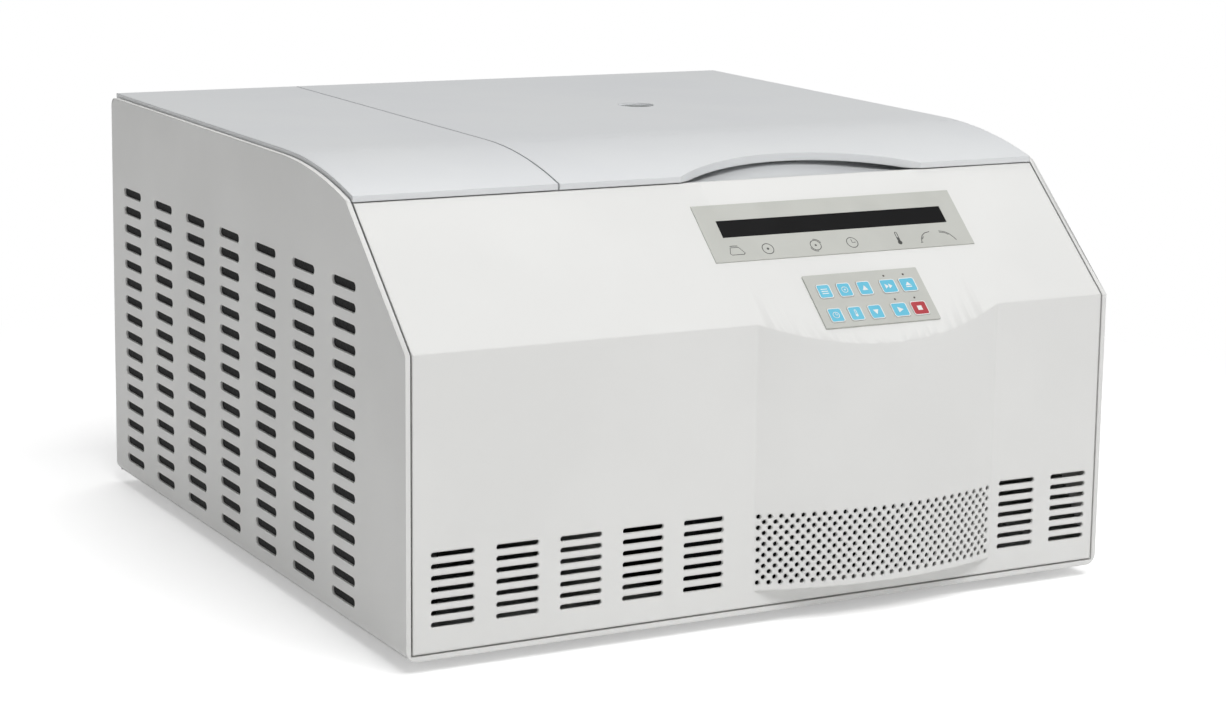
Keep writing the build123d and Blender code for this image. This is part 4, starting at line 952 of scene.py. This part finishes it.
lampDisc = disc(0, 0, keypadLook["lampRadius"] - 0.05)
lampSpots = [
    (x, rise + keypadLook["lampAbove"])
    for rise in keyRows.values() for x, width in keyColumns[keypadLook["firstWide"] - 1:]
]
lampShapes = [[(x + dx, y + dy) for dx, dy in lampDisc] for x, y in lampSpots]
lamps = drawMarks(
    "lampDots", [], lampShapes, deskPlace(0, 0, keypadLook["thickness"] - keypadLook["lampLow"]),
    signLook["line"], "base", finishes["lampDark"],
)
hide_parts("indicator_lamps")
keyTop = keySettings["lift"] + keySettings["thickness"] + keySettings["faceLift"]
triangleUp = [(-2.6, -2.0), (2.6, -2.0), (0, 2.7)]
keySigns = {
    ("top", 1): ([], [[(-3, y), (3, y), (3, y + 0.8), (-3, y + 0.8)] for y in (-2.6, -0.5, 1.6)]),
    ("top", 2): ([circle(0, 0, 2.7)], [disc(0, 0, 0.8)]),
    ("top", 3): ([], [triangleUp]),
    ("top", 4): ([], [[(-3.4, -2.4), (-0.2, 0), (-3.4, 2.4)], [(0.2, -2.4), (3.4, 0), (0.2, 2.4)]]),
    ("top", 5): ([], [[(-2.8, -0.8), (2.8, -0.8), (0, 2.7)],
                      [(-2.8, -2.6), (2.8, -2.6), (2.8, -1.6), (-2.8, -1.6)]]),
    ("bottom", 1): ([circle(0, 0, 2.8), [(0, 1.9), (0, 0), (1.8, 0)]], []),
    ("bottom", 2): ([[(-0.7, 2.9), (-0.7, -0.8)], [(0.7, 2.9), (0.7, -0.8)], arc(0, 2.9, 0.7, 0, 180, 5)],
                    [disc(0, -1.8, 1.3)]),
    ("bottom", 3): ([], [[(x, -y) for x, y in reversed(triangleUp)]]),
    ("bottom", 4): ([], [[(-2.1, -2.8), (3.0, 0), (-2.1, 2.8)]]),
    ("bottom", 5): ([], [[(-2.2, -2.2), (2.2, -2.2), (2.2, 2.2), (-2.2, 2.2)]]),
}
for (row, column), (lines, shapes) in keySigns.items():
    x, rise, body = keyPlaces[(row, column)]
    drawMarks(
        f"keySign_{row}_{column}", lines, shapes, deskPlace(x, rise, keyTop), signLook["keyLine"], body,
        finishes["markWhite"],
    )
print("signs:", len(displaySigns) + len(keySigns))


def screwTree():
    # domed heads with a cross recess, one on each point, each turned its own way
    inputs = {
        "Radius": "Float", "Head": "Float", "Recess Length": "Float", "Recess Width": "Float",
        "Recess Depth": "Float", "Turn": "Vector", "Seed": "Int", "Material": "Material",
    }
    net = newTree("crossHeads", inputs)
    given = net.inputs
    drum = net.add("GeometryNodeMeshCylinder", {"fill_type": "TRIANGLE_FAN"}, {
        "Vertices": 20, "Fill Segments": 3, "Radius": given["Radius"], "Depth": given["Head"],
    })["Mesh"]
    place = net.add("GeometryNodeInputPosition")[0]
    split = net.add("ShaderNodeSeparateXYZ", None, {0: place})
    reach = (split[0] * split[0] + split[1] * split[1]) / (given["Radius"] * given["Radius"])
    fall = reach * given["Head"] * 0.45
    upper = split[2].math("GREATER_THAN", 0.0)
    dome = net.add("GeometryNodeSetPosition", None, {
        "Geometry": drum, "Selection": upper, "Offset": net.vector(0.0, 0.0, fall * -1),
    })[0]
    bars = []
    recess = [given["Recess Length"], given["Recess Width"]]
    for long, wide in (recess, recess[::-1]):
        bar = net.add("GeometryNodeMeshCube", None, {
            "Size": net.vector(long, wide, given["Recess Depth"] * 2),
        })["Mesh"]
        bars.append(net.add("GeometryNodeTransform", None, {
            "Geometry": bar, "Translation": net.vector(0.0, 0.0, given["Head"] / 2),
        })[0])
    head = net.add("GeometryNodeMeshBoolean", {"operation": "DIFFERENCE", "solver": "MANIFOLD"}, {
        "Mesh 1": dome, "Mesh 2": bars,
    })["Mesh"]
    head = net.add("GeometryNodeTransform", None, {
        "Geometry": head, "Translation": net.vector(0.0, 0.0, given["Head"] / 2),
    })[0]
    spin = net.add("FunctionNodeRandomValue", {"data_type": "FLOAT"}, {
        "Min": 0.0, "Max": 3.1, "Seed": given["Seed"],
    })
    spin = Wire(net, [s for s in spin.node.outputs if s.enabled][0])
    twist = net.add("FunctionNodeEulerToRotation", None, {0: net.vector(0.0, 0.0, spin)})[0]
    lay = net.add("FunctionNodeEulerToRotation", None, {0: given["Turn"]})[0]
    turn = net.add("FunctionNodeRotateRotation", {"rotation_space": "LOCAL"}, {
        "Rotation": lay, "Rotate By": twist,
    })[0]
    heads = net.add("GeometryNodeInstanceOnPoints", None, {
        "Points": given["Geometry"], "Instance": head, "Rotation": turn,
    })[0]
    return closeTree(net, heads, given["Material"])


crossTree = screwTree()


def placeScrews(name, points, turn, radius, seed, body):
    start = meshPiece(name + "Points", points)
    addStep(start, crossTree, {
        "Radius": radius * mm, "Head": radius * 0.62 * mm, "Recess Length": radius * 1.25 * mm,
        "Recess Width": radius * 0.3 * mm, "Recess Depth": radius * 0.34 * mm, "Turn": turn, "Seed": seed,
        "Material": finishes["plateSteel"],
    })
    screws = keepResult(start, name, body, 35)


rearFace = rearBox[1].y
rearPoints = [(x * mm, rearFace, z * mm) for x in (-302, -150, 0, 150, 302) for z in (22, 328)]
rearPoints += [(side * 302 * mm, rearFace, z * mm) for side in (-1, 1) for z in (125, 228)]
placeScrews("rearScrews", rearPoints, turnOf((-1, 0, 0), (0, 0, 1)), 3.6, 4, "base")
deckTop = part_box("chamber_deck")[1].z
deckPoints = [(x * mm, y * mm, deckTop) for x in (-128, 304) for y in (-178, 40, 300)]
placeScrews("deckScrews", deckPoints, (0, 0, 0), 3.2, 7, "base")
print("screws:", len(rearPoints) + len(deckPoints))


def buildStage():
    # pale floor that turns white to the camera but keeps the shadow
    half = stageLook["floorHalf"]
    corners = [(x * half, y * half, 0) for x, y in ((-1, -1), (1, -1), (1, 1), (-1, 1))]
    floor = meshPiece("floor", corners, (), [(0, 1, 2, 3)])
    net = newFinish("floorWhite")
    path = net.add("ShaderNodeLightPath")
    seen = path["Is Camera Ray"].math("MAXIMUM", path["Is Glossy Ray"])
    seen = seen.math("MAXIMUM", path["Is Transmission Ray"])
    x, y, z = net.axes()
    openFloor = ((x * x + y * y) ** 0.5).ease(*stageLook["shadowReach"])
    grain = net.noise(3.0, 2.0)
    tint = net.mix(grain.ease(0.3, 0.7), rgb(247, 247, 247), rgb(245, 245, 245))
    matte = net.add("ShaderNodeBsdfDiffuse", None, {"Color": tint})[0]
    glow = net.add("ShaderNodeEmission", None, {
        "Color": (1, 1, 1, 1), "Strength": seen * stageLook["floorGlow"],
    })[0]
    both = net.add("ShaderNodeAddShader", None, {0: matte, 1: glow})[0]
    white = net.add("ShaderNodeEmission", None, {"Color": (1, 1, 1, 1), "Strength": 1.0})[0]
    shown = net.add("ShaderNodeMixShader", None, {0: openFloor * seen, 1: both, 2: white})[0]
    net.add("ShaderNodeOutputMaterial", None, {"Surface": shown})
    floor.data.materials.append(net.material)
    world = bpy.data.worlds.new("studio")
    world.use_nodes = True
    world.node_tree.nodes.clear()
    sky = Net(world.node_tree)
    path = sky.add("ShaderNodeLightPath")
    seen = path["Is Camera Ray"].math("MAXIMUM", path["Is Transmission Ray"])
    level = seen * (1.0 - stageLook["ambient"]) + stageLook["ambient"]
    light = sky.add("ShaderNodeBackground", None, {"Color": (1, 1, 1, 1), "Strength": level})[0]
    sky.add("ShaderNodeOutputWorld", None, {"Surface": light})
    bpy.context.scene.world = world


def softLight(name, look):
    lamp = bpy.data.lights.new(name, "AREA")
    lamp.shape = "RECTANGLE"
    lamp.size, lamp.size_y = look["size"]
    lamp.energy = look["power"]
    source = bpy.data.objects.new(name, lamp)
    bpy.context.scene.collection.objects.link(source)
    source.location = look["from"]
    aim = Vector(look["at"]) - Vector(look["from"])
    source.rotation_euler = aim.to_track_quat("-Z", "Y").to_euler()


stageLook = {"ambient": 0.24, "floorGlow": 0.36, "shadowReach": (0.55, 1.1), "floorHalf": 8.0}
lampLooks = {
    "frontSoftbox": {"from": (0.0, -2.5, 4.53), "at": (0, 0, 0.2), "size": (3.4, 2.6), "power": 150.0},
    "sideSoftbox": {"from": (1.4, -3.85, 3.07), "at": (0, 0, 0.2), "size": (3.4, 2.6), "power": 16.0},
    "backSoftbox": {"from": (1.25, 2.17, 4.53), "at": (0, 0, 0.2), "size": (3.4, 2.6), "power": 62.0},
}
buildStage()
for name, look in lampLooks.items():
    softLight(name, look)

cameraLook = {
    "azimuth": -29.1582, "elevation": 11.8891, "roll": 1.2371, "distance": 2.4909,
    "target": (22.18 * mm, 0.0, 152.19 * mm), "focal": 2833.0, "frameWidth": 1226.0,
}


def placeCamera(look):
    azimuth, elevation, roll = (math.radians(look[k]) for k in ("azimuth", "elevation", "roll"))
    level = math.cos(elevation)
    back = Vector((math.sin(azimuth) * level, -math.cos(azimuth) * level, math.sin(elevation)))
    right = (-back).cross(Vector((0, 0, 1))).normalized()
    up = right.cross(-back)
    turnedRight = right * math.cos(roll) + up * math.sin(roll)
    turnedUp = up * math.cos(roll) - right * math.sin(roll)
    camera = bpy.data.cameras.new("studioCamera")
    camera.sensor_fit = "HORIZONTAL"
    camera.sensor_width = 36.0
    camera.lens = look["focal"] / look["frameWidth"] * camera.sensor_width
    camera.clip_end = 40.0
    holder = bpy.data.objects.new("studioCamera", camera)
    bpy.context.scene.collection.objects.link(holder)
    turn = Matrix((turnedRight, turnedUp, back)).transposed().to_4x4()
    holder.matrix_world = Matrix.Translation(Vector(look["target"]) + back * look["distance"]) @ turn
    bpy.context.scene.camera = holder


placeCamera(cameraLook)
bpy.context.scene.view_settings.view_transform = "Standard"
print("stage, lights and camera placed")
